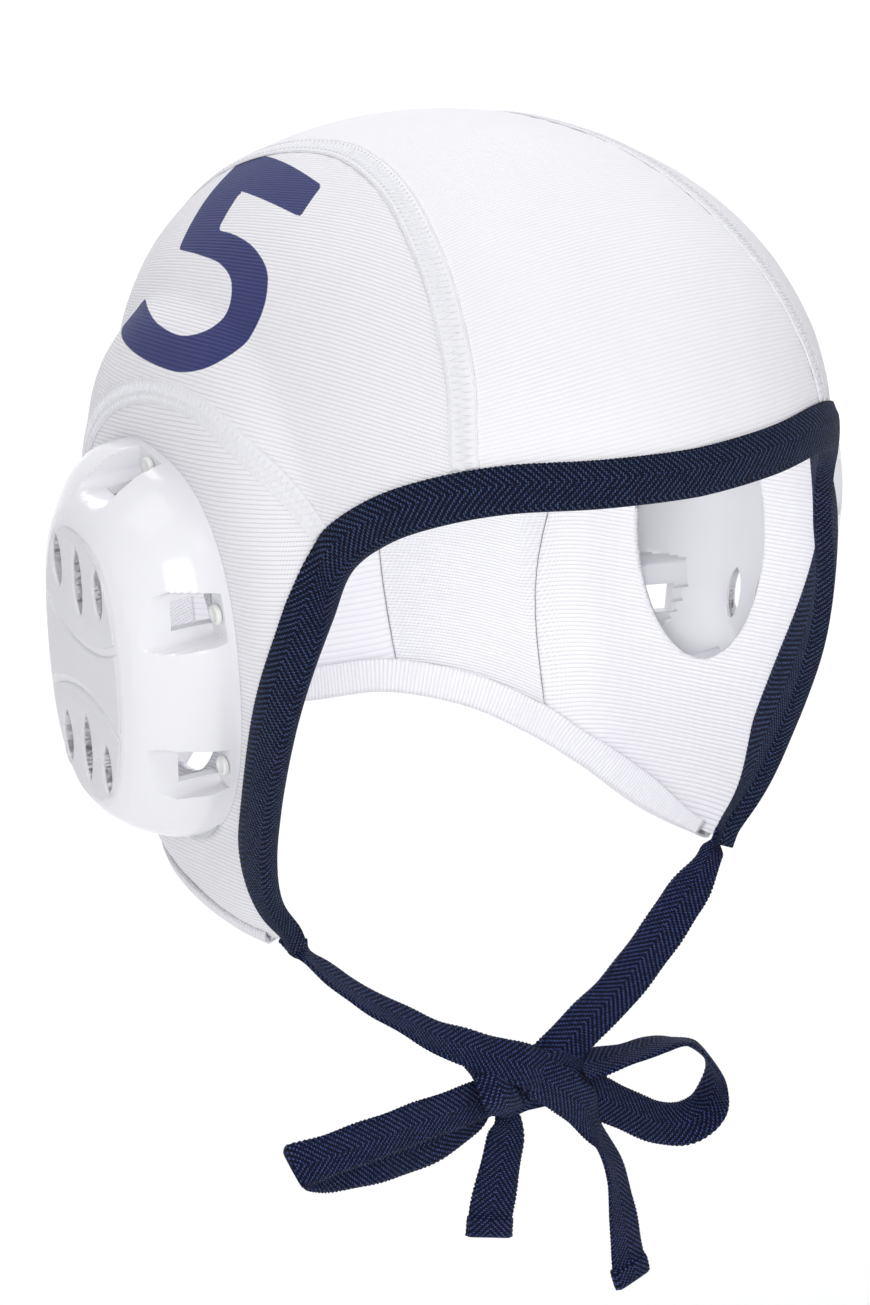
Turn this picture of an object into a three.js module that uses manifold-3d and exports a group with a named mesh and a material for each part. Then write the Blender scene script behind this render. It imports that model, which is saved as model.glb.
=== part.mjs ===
// Water polo cap: knitted cloth panels, flatlock seams, a herringbone face binding,
// two pressed-on plastic ear guards, and a chin tie tied in a bow.
// Millimetres, +Z up. The face looks toward -Y and the wearer's left is +X.
// The origin is the inside of the crown, where the head carries the cap.

import * as THREE from 'three';
import { mergeVertices } from 'three/addons/utils/BufferGeometryUtils.js';
import Module from 'manifold-3d';

const wasm = await Module();
wasm.setup();

// Head hollow
const headWidth = 150;
const headFront = 89;
const headBack = 99;
const crownHeight = 68;
const flapDrop = 184;

// Cloth, tape and the clearances between touching pieces
const clothThick = 1.3;
const tapeThick = 0.8;
const gap = 0.3;
const liningGap = 0.7;
const jointGap = 0.3;
const bindingWidth = 10;
const hemWidth = 8;
const crownSeamWidth = 6.5;
const earSeamWidth = 5.5;
const seamThick = 0.9;
const seamGap = 0.45;
const seamShoulder = { side: 0.42, rise: 0.6 };
const foldBlunt = 0.5;
const edgeEase = 0.6;

// Ear guard, its ring and its pins
const guardWidth = 73;
const guardHeight = 95;
const guardDepth = 20.5;
const guardWall = 2.2;
const guardSquare = 2.5;
const reliefHeight = 0.7;
const grooveWidth = 2;
const ringThick = 2;
const ringBand = 7;
const ringPeek = 2.2;
const pocketWidth = 17;
const pocketReach = 8;
const pocketFloor = 1.8;
const windowHeight = 7.5;
const windowReach = 0.8;
const pinRadius = 1.3;
const pinHeadRadius = 2.4;
const pinHeadThick = 1.4;
const pinPlace = -3.2;
const cutPast = 2;
const earHoleWidth = 50;
const earHoleHeight = 66;

// Panels and slots of the guard's flat face
const faceInset = 1.3;
const lensRadius = 31;
const lensMiddle = 38;
const slotWidth = 4.2;
const slotRow = [
  { across: -0.52, along: 0.66, length: 13 },
  { across: 0, along: 0.62, length: 17 },
  { across: 0.52, along: 0.66, length: 13 },
];

// Rows of the guard's outer form, from its rim out to its flat face, as shares of its half sizes.
const guardRows = [
  { rise: 0, across: 1, along: 1 },
  { rise: 0.22, across: 0.985, along: 0.99 },
  { rise: 0.5, across: 0.9, along: 0.935 },
  { rise: 0.75, across: 0.76, along: 0.86 },
  { rise: 0.92, across: 0.6, along: 0.78 },
  { rise: 1, across: 0.49, along: 0.73 },
];
const faceRow = guardRows[guardRows.length - 1];

// Windows round the rim: the way each faces in degrees, and how far along the rim as a share.
// The guard is turned, not mirrored, for the other ear, so each window has a name for each ear.
const guardWindows = [
  { right: 'front_upper', left: 'back_upper', turn: 0, along: 0.27 },
  { right: 'front_lower', left: 'back_lower', turn: 0, along: -0.52 },
  { right: 'top', left: 'top', turn: 90, along: 0 },
  { right: 'back_upper', left: 'front_upper', turn: 180, along: -0.27 },
  { right: 'back_lower', left: 'front_lower', turn: 180, along: 0.52 },
  { right: 'bottom', left: 'bottom', turn: 270, along: 0 },
];

// Where the ear guard lies on the head, its middle a share of the way down to the flap's tip, and how it leans
const earAhead = -14;
const earDropShare = 0.612;
const earDrop = earDropShare * flapDrop;
const earReach = 74.5;
const leanBack = 4;
const leanDown = 5;
const flatEase = 1.8;
const flatFacing = 0.3;

// Chin tie
const tieWidth = 11;
const tieThick = 1.2;
const knotSize = { across: 29, deep: 15, high: 15 };
const knotMiddle = [0, -24.5, -45.5 - flapDrop];
const knotBlunt = 0.6;
const knotWaist = { depth: 0.1, reach: 0.35 };
const tailHem = { length: 6, thick: 2.2 };

// Mesh steps
const frontSteps = 8;
const sideSteps = 6;
const earSteps = 11;
const seamSteps = 2 * earSteps;
const earTurnShare = 0.5;
const bandSteps = 24;
const hemSteps = 28;
const loopSteps = 22;
const tieSteps = 14;
const tailSteps = 10;
const holeSides = 28;
const formSides = 24;
const hollowSides = 16;
const faceSides = 20;
const pinSides = 8;
const knotSides = 14;
const knotRings = 8;

// Working steps: halvings of a drape's search, pieces a line is measured in, and a slope's sample
const drapeHalvings = 40;
const lineDivisions = 400;
const slopeStep = 1.5;

const clothWhite = new THREE.MeshStandardMaterial({ color: 0xeeeef1, roughness: 0.85, metalness: 0 });
const tapeNavy = new THREE.MeshStandardMaterial({ color: 0x1b2850, roughness: 0.8, metalness: 0 });
const guardWhite = new THREE.MeshStandardMaterial({ color: 0xf2f2f4, roughness: 0.2, metalness: 0 });
const ringClear = new THREE.MeshStandardMaterial({ color: 0xdfe3e6, roughness: 0.25, metalness: 0 });
const pinWhite = new THREE.MeshStandardMaterial({ color: 0xe9e9e6, roughness: 0.35, metalness: 0 });

// Sections of the head hollow, from the crown down.
// fall: share of crownHeight down to the widest level, then 1 plus the share of the way on to flapDrop.
// width, front and back: shares of the half width and of the two half lengths. square: section exponent.
const headSections = [
  { fall: 1.0, width: 1.0, front: 1.0, back: 1.0, square: 2.15 },
  { fall: 1.2, width: 0.995, front: 1.0, back: 0.99, square: 2.3 },
  { fall: 1.4, width: 0.975, front: 0.98, back: 0.95, square: 2.45 },
  { fall: 1.65, width: 0.94, front: 0.95, back: 0.9, square: 2.4 },
  { fall: 1.85, width: 0.885, front: 0.92, back: 0.85, square: 2.35 },
  { fall: 2.0, width: 0.81, front: 0.9, back: 0.8, square: 2.3 },
  { fall: 2.2, width: 0.66, front: 0.86, back: 0.72, square: 2.2 },
];
const domeSquare = { width: 2.15, front: 1.85, back: 2.2 };

// The line of the face opening on the wearer's right, from the forehead down to the flap's tip.
// across: share of the half width. ahead: share of headFront. drop: share of flapDrop.
const faceLine = [
  { across: 0.0, ahead: 1.0, drop: 0.345 },
  { across: 0.3, ahead: 0.965, drop: 0.343 },
  { across: 0.55, ahead: 0.855, drop: 0.346 },
  { across: 0.7, ahead: 0.745, drop: 0.365 },
  { across: 0.8, ahead: 0.64, drop: 0.395 },
  { across: 0.87, ahead: 0.55, drop: 0.44 },
  { across: 0.905, ahead: 0.495, drop: 0.515 },
  { across: 0.93, ahead: 0.435, drop: 0.6 },
  { across: 0.955, ahead: 0.375, drop: 0.7 },
  { across: 0.965, ahead: 0.325, drop: 0.78 },
  { across: 0.93, ahead: 0.265, drop: 0.85 },
  { across: 0.86, ahead: 0.215, drop: 0.92 },
  { across: 0.79, ahead: 0.205, drop: 0.985 },
];
const faceSeamShares = { crown: 0.255, ear: 0.43 };

// The neck edge on the wearer's right, from the flap's tip back to the middle of the nape.
const neckLine = [
  { across: 0.79, ahead: 0.205, drop: 0.985 },
  { across: 0.8, ahead: 0.02, drop: 0.992 },
  { across: 0.79, ahead: -0.2, drop: 0.988 },
  { across: 0.76, ahead: -0.42, drop: 0.968 },
  { across: 0.68, ahead: -0.62, drop: 0.94 },
  { across: 0.55, ahead: -0.78, drop: 0.915 },
  { across: 0.33, ahead: -0.9, drop: 0.895 },
  { across: 0.0, ahead: -0.945, drop: 0.89 },
];
const neckSeamShares = { ear: 0.5, crown: 0.79 };

// The seam between the crown strip and the side panel, over the head from front to back.
const crownSeamLine = [
  { across: 0.635, ahead: 0.785, drop: 0.307 },
  { across: 0.59, ahead: 0.7, drop: 0.203 },
  { across: 0.525, ahead: 0.515, drop: 0.108 },
  { across: 0.485, ahead: 0.38, drop: 0.07 },
  { across: 0.438, ahead: 0.22, drop: 0.04 },
  { across: 0.4, ahead: 0.06, drop: 0.026 },
  { across: 0.37, ahead: -0.12, drop: 0.022 },
  { across: 0.372, ahead: -0.31, drop: 0.034 },
  { across: 0.392, ahead: -0.48, drop: 0.058 },
  { across: 0.4, ahead: -0.72, drop: 0.15 },
  { across: 0.39, ahead: -0.9, drop: 0.3 },
  { across: 0.38, ahead: -0.97, drop: 0.48 },
  { across: 0.36, ahead: -0.96, drop: 0.7 },
];

// The seam round the ear panel, from the temple over the guard and down behind it.
const earSeamLine = [
  { across: 0.896, ahead: 0.49, drop: 0.408 },
  { across: 0.94, ahead: 0.378, drop: 0.352 },
  { across: 0.991, ahead: 0.224, drop: 0.306 },
  { across: 1.018, ahead: 0.067, drop: 0.282 },
  { across: 1.03, ahead: -0.137, drop: 0.286 },
  { across: 1.02, ahead: -0.31, drop: 0.312 },
  { across: 0.98, ahead: -0.49, drop: 0.37 },
  { across: 0.93, ahead: -0.62, drop: 0.46 },
  { across: 0.88, ahead: -0.7, drop: 0.58 },
  { across: 0.8, ahead: -0.72, drop: 0.75 },
];

// The chin tie's routes: middle of the tape in millimetres, its height measured from the flap's drop,
// and the way that its flat side faces.
const tieRoute = [
  { at: [-60.86, -13.04, -1.48], face: [-0.93, -0.1, -0.33] },
  { at: [-57.6, -15, -8], face: [-0.8, -0.45, 0.1] },
  { at: [-53, -16.5, -12.5], face: [-0.5, -0.75, 0.35] },
  { at: [-46.3, -18, -16.4], face: [-0.3, -0.8, 0.45] },
  { at: [-35.1, -21, -23.5], face: [-0.2, -0.85, 0.4] },
  { at: [-25.2, -23, -29.8], face: [-0.15, -0.9, 0.35] },
  { at: [-15.1, -23.4, -35.6], face: [-0.15, -0.9, 0.3] },
];
const rightLoopRoute = [
  { at: [-15.1, -26.8, -45.2], face: [0, -1, 0.1] },
  { at: [-31.2, -28, -45.9], face: [0, -1, 0.1] },
  { at: [-45.9, -29, -47], face: [0, -1, 0.1] },
  { at: [-59.1, -28, -48.8], face: [-0.1, -1, 0.1] },
  { at: [-67, -25, -51], face: [-1, -0.1, 0] },
  { at: [-56.5, -22.5, -54], face: [-0.1, 1, -0.1] },
  { at: [-41.2, -21.5, -56], face: [0, 1, -0.1] },
  { at: [-27.1, -21.5, -55], face: [0, 1, -0.1] },
  { at: [-15.1, -22.4, -50.6], face: [0, 1, -0.1] },
];
const leftLoopRoute = [
  { at: [15.1, -28.4, -42.6], face: [0, -0.95, 0.3] },
  { at: [25, -29.4, -43.6], face: [0, -0.75, 0.65] },
  { at: [33, -29.2, -44.2], face: [0.05, -0.65, 0.75] },
  { at: [41, -28, -44.5], face: [0.3, -0.6, 0.75] },
  { at: [49, -27.5, -48], face: [0.8, -0.45, 0.4] },
  { at: [53.5, -26.5, -56], face: [1, -0.15, 0] },
  { at: [52, -25.5, -64], face: [0.75, 0.5, -0.45] },
  { at: [46, -25, -67], face: [0.25, 0.85, -0.5] },
  { at: [37, -24.5, -65], face: [-0.1, 0.9, -0.4] },
  { at: [27, -24, -59], face: [-0.2, 0.9, -0.35] },
  { at: [15.1, -23.8, -51.4], face: [-0.1, 0.95, -0.25] },
];
const rightTailRoute = [
  { at: [-8, -25.5, -53.2], face: [0, -1, 0] },
  { at: [-8.5, -26.2, -56.5], face: [0, -1, 0.2] },
  { at: [-11.6, -28.3, -62], face: [0.1, -1, 0] },
  { at: [-14.5, -29.5, -68], face: [0.15, -1, 0.05] },
  { at: [-16.4, -30, -76], face: [0.1, -1, 0.1] },
  { at: [-17, -30, -83], face: [0.1, -1, 0.1] },
];
const leftTailRoute = [
  { at: [8.4, -25.5, -53.8], face: [0, -1, 0] },
  { at: [9.6, -26.3, -56.5], face: [-0.1, -1, 0.2] },
  { at: [14.5, -29, -63], face: [-0.1, -1, 0.25] },
  { at: [18, -31, -73], face: [0.2, -1, 0.1] },
  { at: [20.5, -32, -83], face: [0.25, -1, 0] },
  { at: [23, -32, -93], face: [0.2, -1, 0] },
  { at: [25, -32, -104], face: [0.2, -1, 0] },
];

// Turns a mesh geometry into a closed body whose faces share their vertices.
function closed(geometry) {
  const bare = geometry.clone();
  bare.deleteAttribute('normal');
  bare.deleteAttribute('uv');
  const merged = mergeVertices(bare, 1e-3);
  const index = [];
  for (let i = 0; i < merged.index.count; i += 3) {
    const [a, b, c] = [0, 1, 2].map((k) => merged.index.getX(i + k));
    if (a !== b && b !== c && c !== a) index.push(a, b, c);
  }
  merged.setIndex(index);
  return merged;
}

function solid(geometry) {
  const body = closed(geometry);
  return new wasm.Manifold(new wasm.Mesh({
    numProp: 3,
    vertProperties: new Float32Array(body.attributes.position.array),
    triVerts: new Uint32Array(body.index.array),
  }));
}

function geometryOf(body) {
  const mesh = body.getMesh();
  const geometry = new THREE.BufferGeometry();
  geometry.setAttribute('position', new THREE.BufferAttribute(new Float32Array(mesh.vertProperties), 3));
  geometry.setIndex(Array.from(mesh.triVerts));
  return geometry;
}

function named(name, geometry, material) {
  const body = geometry.index && !geometry.attributes.uv ? geometry : closed(geometry);
  body.computeVertexNormals();
  const mesh = new THREE.Mesh(body, material);
  mesh.name = name;
  return mesh;
}

// The same body on the other side of the head.
function mirrored(geometry) {
  const flipped = geometry.clone();
  flipped.scale(-1, 1, 1);
  const index = Array.from(flipped.index.array);
  for (let i = 0; i < index.length; i += 3) [index[i], index[i + 1]] = [index[i + 1], index[i]];
  flipped.setIndex(index);
  return flipped;
}

// Smooth value of a named column at a place in a table sorted by another column.
function tableValue(rows, key, column, place) {
  let i = 0;
  while (i < rows.length - 2 && rows[i + 1][key] < place) i += 1;
  const [a, b] = [rows[i], rows[i + 1]];
  const slope = (j) => {
    if (j <= 0) return 0;
    const [lower, upper] = [rows[j - 1], rows[Math.min(j + 1, rows.length - 1)]];
    return (upper[column] - lower[column]) / (upper[key] - lower[key]);
  };
  const span = b[key] - a[key];
  const t = (place - a[key]) / span;
  const [t2, t3] = [t * t, t * t * t];
  return (2 * t3 - 3 * t2 + 1) * a[column] + (t3 - 2 * t2 + t) * span * slope(i)
    + (3 * t2 - 2 * t3) * b[column] + (t3 - t2) * span * slope(i + 1);
}

// Half sizes of the head hollow at one level, and the level itself.
function headLevel(fall) {
  if (fall < 1) {
    const turn = fall * Math.PI / 2;
    const share = (square) => Math.sin(turn) ** (2 / square);
    return {
      z: -crownHeight * (1 - Math.cos(turn) ** (2 / domeSquare.width)),
      width: headWidth / 2 * share(domeSquare.width),
      front: headFront * share(domeSquare.front),
      back: headBack * share(domeSquare.back),
      square: headSections[0].square,
    };
  }
  const at = (column) => tableValue(headSections, 'fall', column, fall);
  return {
    z: -crownHeight - (fall - 1) * (flapDrop - crownHeight),
    width: headWidth / 2 * at('width'),
    front: headFront * at('front'),
    back: headBack * at('back'),
    square: at('square'),
  };
}

const headCentre = new THREE.Vector3(0, 0, -crownHeight);

// Ear guard's frame: x ahead, y up, z out of the head, on the hollow's wall.
function earFrame(side) {
  const back = THREE.MathUtils.degToRad(leanBack);
  const down = THREE.MathUtils.degToRad(leanDown);
  const out = new THREE.Vector3(
    side * Math.cos(back) * Math.cos(down), Math.sin(back) * Math.cos(down), -Math.sin(down));
  const ahead = new THREE.Vector3(0, 0, 1).cross(out).multiplyScalar(-side).normalize();
  const x = ahead.clone().multiplyScalar(-side);
  const y = out.clone().cross(x).normalize();
  const frame = new THREE.Matrix4().makeBasis(x, y, out);
  return frame.setPosition(side * earReach, -earAhead, -earDrop);
}

// How far a place on the guard's base plane is from its middle, 1 on the outline.
function guardReach(x, y, grow = 0) {
  const across = Math.abs(x) / (guardWidth / 2 + grow);
  const along = Math.abs(y) / (guardHeight / 2 + grow);
  return (across ** guardSquare + along ** guardSquare) ** (1 / guardSquare);
}

const earFrames = { right: earFrame(-1), left: earFrame(1) };
const earInverse = {
  right: earFrames.right.clone().invert(),
  left: earFrames.left.clone().invert(),
};

// The place on the hollow's wall that lies in the same direction from the head's centre.
function drape(point) {
  const ray = point.clone().sub(headCentre);
  const flat = Math.hypot(ray.x, ray.y);
  const [sine, cosine] = flat > 1e-9 ? [Math.abs(ray.x) / flat, ray.y / flat] : [0, -1];
  const wall = (fall) => {
    const level = headLevel(fall);
    const length = cosine < 0 ? level.front : level.back;
    const power = level.square;
    const reach = fall <= 0 ? 0
      : ((sine / level.width) ** power + (Math.abs(cosine) / length) ** power) ** (-1 / power);
    return { reach, z: level.z };
  };
  const wanted = Math.atan2(ray.z, flat);
  let [low, high] = [0, headSections[headSections.length - 1].fall];
  for (let i = 0; i < drapeHalvings; i += 1) {
    const middle = (low + high) / 2;
    const tried = wall(middle);
    if (Math.atan2(tried.z - headCentre.z, tried.reach) > wanted) low = middle;
    else high = middle;
  }
  const { reach, z } = wall((low + high) / 2);
  return flattened(new THREE.Vector3(Math.sign(ray.x) * reach * sine, reach * cosine, z));
}

// Cloth lies flat under a guard and eases back to the head's own shape round it.
function flattened(point) {
  const side = point.x < 0 ? 'right' : 'left';
  const ray = point.clone().sub(headCentre).normalize();
  const base = new THREE.Vector3().setFromMatrixPosition(earFrames[side]);
  const out = new THREE.Vector3().setFromMatrixColumn(earFrames[side], 2);
  const facing = ray.dot(out);
  if (facing < flatFacing) return point;
  const hit = headCentre.clone().addScaledVector(ray, base.sub(headCentre).dot(out) / facing);
  const local = hit.clone().applyMatrix4(earInverse[side]);
  const pull = 1 - THREE.MathUtils.smoothstep(guardReach(local.x, local.y, ringPeek), 1.0, flatEase);
  return point.clone().lerp(hit, pull);
}

function outward(point) {
  const ray = point.clone().sub(headCentre).normalize();
  const helper = Math.abs(ray.z) < 0.8 ? new THREE.Vector3(0, 0, 1) : new THREE.Vector3(0, -1, 0);
  const east = helper.cross(ray).normalize();
  const north = ray.clone().cross(east);
  const at = (axis, sign) => drape(point.clone().addScaledVector(axis, sign * slopeStep));
  const alongEast = at(east, 1).sub(at(east, -1));
  const alongNorth = at(north, 1).sub(at(north, -1));
  return alongEast.cross(alongNorth).normalize();
}

function raised(point, height) {
  return point.clone().addScaledVector(outward(point), height);
}

function headPoints(table) {
  return table.map((row) => drape(new THREE.Vector3(
    -row.across * headWidth / 2, -row.ahead * headFront, -row.drop * flapDrop)));
}

// Points between two shares of a head line's length, at even steps or closer together near both ends.
function headLine(corners, steps, from = 0, to = 1, ease = 0) {
  const curve = new THREE.CatmullRomCurve3(corners, false, 'centripetal');
  curve.arcLengthDivisions = lineDivisions;
  return Array.from({ length: steps + 1 }, (_, i) => {
    const share = i / steps - ease * Math.sin(2 * Math.PI * i / steps) / (2 * Math.PI);
    return drape(curve.getPointAt(from + (to - from) * share));
  });
}

// The same line with a length taken off each end.
function trimmed(line, start, end, steps) {
  const curve = new THREE.CatmullRomCurve3(line, false, 'centripetal');
  curve.arcLengthDivisions = lineDivisions;
  const length = curve.getLength();
  return headLine(line, steps, start / length, 1 - end / length);
}

// A line moved sideways over the head's wall, to its left when seen from outside.
function sideways(line, distance) {
  return line.map((point, i) => {
    const along = line[Math.min(i + 1, line.length - 1)].clone().sub(line[Math.max(i - 1, 0)]);
    const side = outward(point).cross(along).normalize();
    return drape(point.clone().addScaledVector(side, distance));
  });
}

// How far each point of two matching lines is along them, as a share of their mean length.
function lengthShares(first, second) {
  const sums = [first, second].map((line) => {
    const sum = [0];
    line.slice(1).forEach((point, i) => sum.push(sum[i] + point.distanceTo(line[i])));
    return sum.map((value) => value / sum[sum.length - 1]);
  });
  return sums[0].map((value, i) => (value + sums[1][i]) / 2);
}

// A cloth wall over four border lines, each pair running the same way.
function clothPanel(top, bottom, front, back) {
  const across = front.length - 1;
  const along = top.length - 1;
  const rails = { top: [...top], bottom: [...bottom] };
  [rails.top[0], rails.bottom[0]] = [front[0], front[across]];
  [rails.top[along], rails.bottom[along]] = [back[0], back[across]];
  const shares = { u: lengthShares(rails.top, rails.bottom), v: lengthShares(front, back) };
  const skin = [];
  for (let i = 0; i <= along; i += 1) {
    for (let j = 0; j <= across; j += 1) {
      const [u, v] = [shares.u[i], shares.v[j]];
      const point = new THREE.Vector3();
      point.addScaledVector(rails.top[i], 1 - v).addScaledVector(rails.bottom[i], v);
      point.addScaledVector(front[j], 1 - u).addScaledVector(back[j], u);
      point.addScaledVector(front[0], -(1 - u) * (1 - v)).addScaledVector(front[across], -(1 - u) * v);
      point.addScaledVector(back[0], -u * (1 - v)).addScaledVector(back[across], -u * v);
      skin.push(drape(point));
    }
  }
  const box = new THREE.BoxGeometry(1, 1, 1, along, across, 1);
  const spots = box.attributes.position;
  for (let k = 0; k < spots.count; k += 1) {
    const i = Math.round((spots.getX(k) + 0.5) * along);
    const j = Math.round((0.5 - spots.getY(k)) * across);
    const point = skin[i * (across + 1) + j];
    const spot = spots.getZ(k) > 0 ? raised(point, clothThick) : point;
    spots.setXYZ(k, spot.x, spot.y, spot.z);
  }
  return facingOut(closed(box));
}

// A band of one closed section carried along stations; each section runs the same way round.
// A symmetric band has its facets mirrored about its middle.
function swept(sections, symmetric = false) {
  const count = sections[0].length;
  const steps = sections.length - 1;
  const positions = sections.flat().flatMap((point) => [point.x, point.y, point.z]);
  const index = [];
  for (let i = 0; i < steps; i += 1) {
    for (let j = 0; j < count; j += 1) {
      const next = (j + 1) % count;
      const [a, b] = [i * count + j, i * count + next];
      if (symmetric && i < steps / 2) index.push(a, b, a + count, b, b + count, a + count);
      else index.push(a, b, b + count, a, b + count, a + count);
    }
  }
  sectionFan(sections[0]).forEach(([a, b, c]) => {
    index.push(a, c, b);
    index.push(...[a, b, c].map((k) => steps * count + k));
  });
  const geometry = new THREE.BufferGeometry();
  geometry.setAttribute('position', new THREE.Float32BufferAttribute(positions, 3));
  geometry.setIndex(index);
  return facingOut(geometry);
}

// Triangles that fill a section, worked out in the section's own plane.
function sectionFan(section) {
  const origin = section[0];
  const x = section[1].clone().sub(origin).normalize();
  const normal = new THREE.Vector3();
  section.forEach((point, j) => {
    const next = section[(j + 1) % section.length];
    normal.add(point.clone().sub(origin).cross(next.clone().sub(origin)));
  });
  const y = normal.normalize().clone().cross(x);
  const flat = section.map((point) => {
    const from = point.clone().sub(origin);
    return new THREE.Vector2(from.dot(x), from.dot(y));
  });
  return THREE.ShapeUtils.triangulateShape(flat, []);
}

function facingOut(geometry) {
  const points = geometry.attributes.position;
  const at = (k) => new THREE.Vector3().fromBufferAttribute(points, geometry.index.getX(k));
  let volume = 0;
  for (let k = 0; k < geometry.index.count; k += 3) volume += at(k).dot(at(k + 1).cross(at(k + 2)));
  if (volume > 0) return geometry;
  const index = Array.from(geometry.index.array);
  for (let i = 0; i < index.length; i += 3) [index[i], index[i + 1]] = [index[i + 1], index[i]];
  geometry.setIndex(index);
  return geometry;
}

// Folded tape round a cloth edge: a fold at the line, one leg outside the cloth and one inside.
function foldedTape(line, width) {
  const outerUnder = clothThick + liningGap;
  const outerTop = outerUnder + tapeThick;
  const outline = [
    { reach: width, height: outerTop },
    { reach: foldBlunt, height: outerTop },
    { reach: 0, height: clothThick / 2 },
    { reach: foldBlunt, height: -liningGap - tapeThick },
    { reach: width, height: -liningGap - tapeThick },
    { reach: width, height: -liningGap },
    { reach: width / 2, height: -liningGap },
    { reach: tapeThick, height: -liningGap },
    { reach: tapeThick, height: outerUnder },
    { reach: width / 2, height: outerUnder },
    { reach: width, height: outerUnder },
  ];
  const sections = line.map((point, i) => {
    const along = line[Math.min(i + 1, line.length - 1)].clone().sub(line[Math.max(i - 1, 0)]);
    const side = along.cross(outward(point)).normalize();
    return outline.map((corner) => {
      const spot = drape(point.clone().addScaledVector(side, corner.reach));
      return raised(spot, corner.height);
    });
  });
  return swept(sections, true);
}

// A raised flatlock seam lying over the joint between two panels.
function seamBand(line, width) {
  const under = clothThick + seamGap;
  const shoulder = under + seamThick * seamShoulder.rise;
  const outline = [
    { side: -0.5, height: under },
    { side: -seamShoulder.side, height: shoulder },
    { side: 0, height: under + seamThick },
    { side: seamShoulder.side, height: shoulder },
    { side: 0.5, height: under },
    { side: 0, height: under },
  ];
  const sections = line.map((point, i) => {
    const along = line[Math.min(i + 1, line.length - 1)].clone().sub(line[Math.max(i - 1, 0)]);
    const side = outward(point).cross(along).normalize();
    return outline.map((corner) => {
      const spot = drape(point.clone().addScaledVector(side, corner.side * width));
      return raised(spot, corner.height);
    });
  });
  return swept(sections);
}

// Flat tape along a route, with the way that it faces carried smoothly along it.
function tape(route, steps, hem = null) {
  const spots = route.map((row) => new THREE.Vector3(...row.at).setZ(row.at[2] - flapDrop));
  const faces = route.map((row) => new THREE.Vector3(...row.face));
  const [middle, facing] = [spots, faces].map((corners) => (
    new THREE.CatmullRomCurve3(corners, false, 'centripetal')));
  const length = middle.getLength();
  const shares = Array.from({ length: steps + 1 }, (_, i) => i / steps);
  if (hem) shares.splice(-1, 0, 1 - (hem.length + gap) / length, 1 - hem.length / length);
  shares.sort((a, b) => a - b);
  const sections = shares.map((share) => {
    const place = middle.getUtoTmapping(share);
    const along = middle.getTangentAt(share);
    const face = facing.getPoint(place).projectOnPlane(along).normalize();
    const side = along.clone().cross(face);
    const hemmed = hem && share >= 1 - hem.length / length - 1e-6;
    const half = (hemmed ? hem.thick : tieThick) / 2;
    return [[-1, 1], [1, 1], [1, -1], [-1, -1]].map(([a, b]) => middle.getPointAt(share)
      .addScaledVector(side, a * tieWidth / 2).addScaledVector(face, b * half));
  });
  return swept(sections);
}

function joined(...lines) {
  return lines.reduce((all, line) => all.concat(line.slice(1)));
}

function mirroredLine(line) {
  return line.map((point) => new THREE.Vector3(-point.x, point.y, point.z)).reverse();
}

// The wearer's right half of the face opening and of the neck edge, with the places where seams meet them.
const faceCorners = headPoints(faceLine);
const neckCorners = headPoints(neckLine);
const faceHalf = joined(
  headLine(faceCorners, frontSteps / 2, 0, faceSeamShares.crown),
  headLine(faceCorners, sideSteps, faceSeamShares.crown, faceSeamShares.ear, edgeEase),
  headLine(faceCorners, earSteps, faceSeamShares.ear, 1, edgeEase),
);
const neckHalf = joined(
  headLine(neckCorners, earSteps, 0, neckSeamShares.ear, edgeEase),
  headLine(neckCorners, sideSteps, neckSeamShares.ear, neckSeamShares.crown, edgeEase),
  headLine(neckCorners, frontSteps / 2, neckSeamShares.crown, 1),
);
const faceMark = { crown: frontSteps / 2, ear: frontSteps / 2 + sideSteps };
const neckMark = { ear: earSteps, crown: earSteps + sideSteps };
const crownSeam = headLine(
  [faceHalf[faceMark.crown], ...headPoints(crownSeamLine), neckHalf[neckMark.crown]], seamSteps);
const earSeamCorners = [faceHalf[faceMark.ear], ...headPoints(earSeamLine), neckHalf[neckMark.ear]];
const earSeam = joined(
  headLine(earSeamCorners, earSteps, 0, earTurnShare, edgeEase),
  headLine(earSeamCorners, earSteps, earTurnShare, 1, edgeEase),
);

// The cloth's own edges lie inside the folds of the tape and the hem.
const edgeInset = tapeThick + liningGap;
const faceCloth = sideways(faceHalf, -edgeInset);
const neckCloth = sideways(neckHalf, -edgeInset);
const tip = faceHalf[faceHalf.length - 1];
const clothTip = faceCloth[faceCloth.length - 1].clone().add(neckCloth[0]).sub(tip);
faceCloth[faceCloth.length - 1] = clothTip;
neckCloth[0] = clothTip;

// A stretch of a cloth edge, kept half a joint's gap short of the seams at its ends.
function edgeStretch(line, from, to, startGap, endGap) {
  const stretch = line.slice(from, to + 1);
  const last = stretch.length - 1;
  const step = (a, b, length) => a.clone().addScaledVector(b.clone().sub(a).normalize(), length);
  const start = step(stretch[0], stretch[1], startGap);
  const end = step(stretch[last], stretch[last - 1], endGap);
  return [start, ...stretch.slice(1, last), end];
}

const halfJoint = jointGap / 2;

function sidePanel() {
  return clothPanel(
    sideways(crownSeam, halfJoint),
    sideways(earSeam, -halfJoint),
    edgeStretch(faceCloth, faceMark.crown, faceMark.ear, halfJoint, halfJoint),
    edgeStretch(neckCloth, neckMark.ear, neckMark.crown, halfJoint, halfJoint).reverse(),
  );
}

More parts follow.
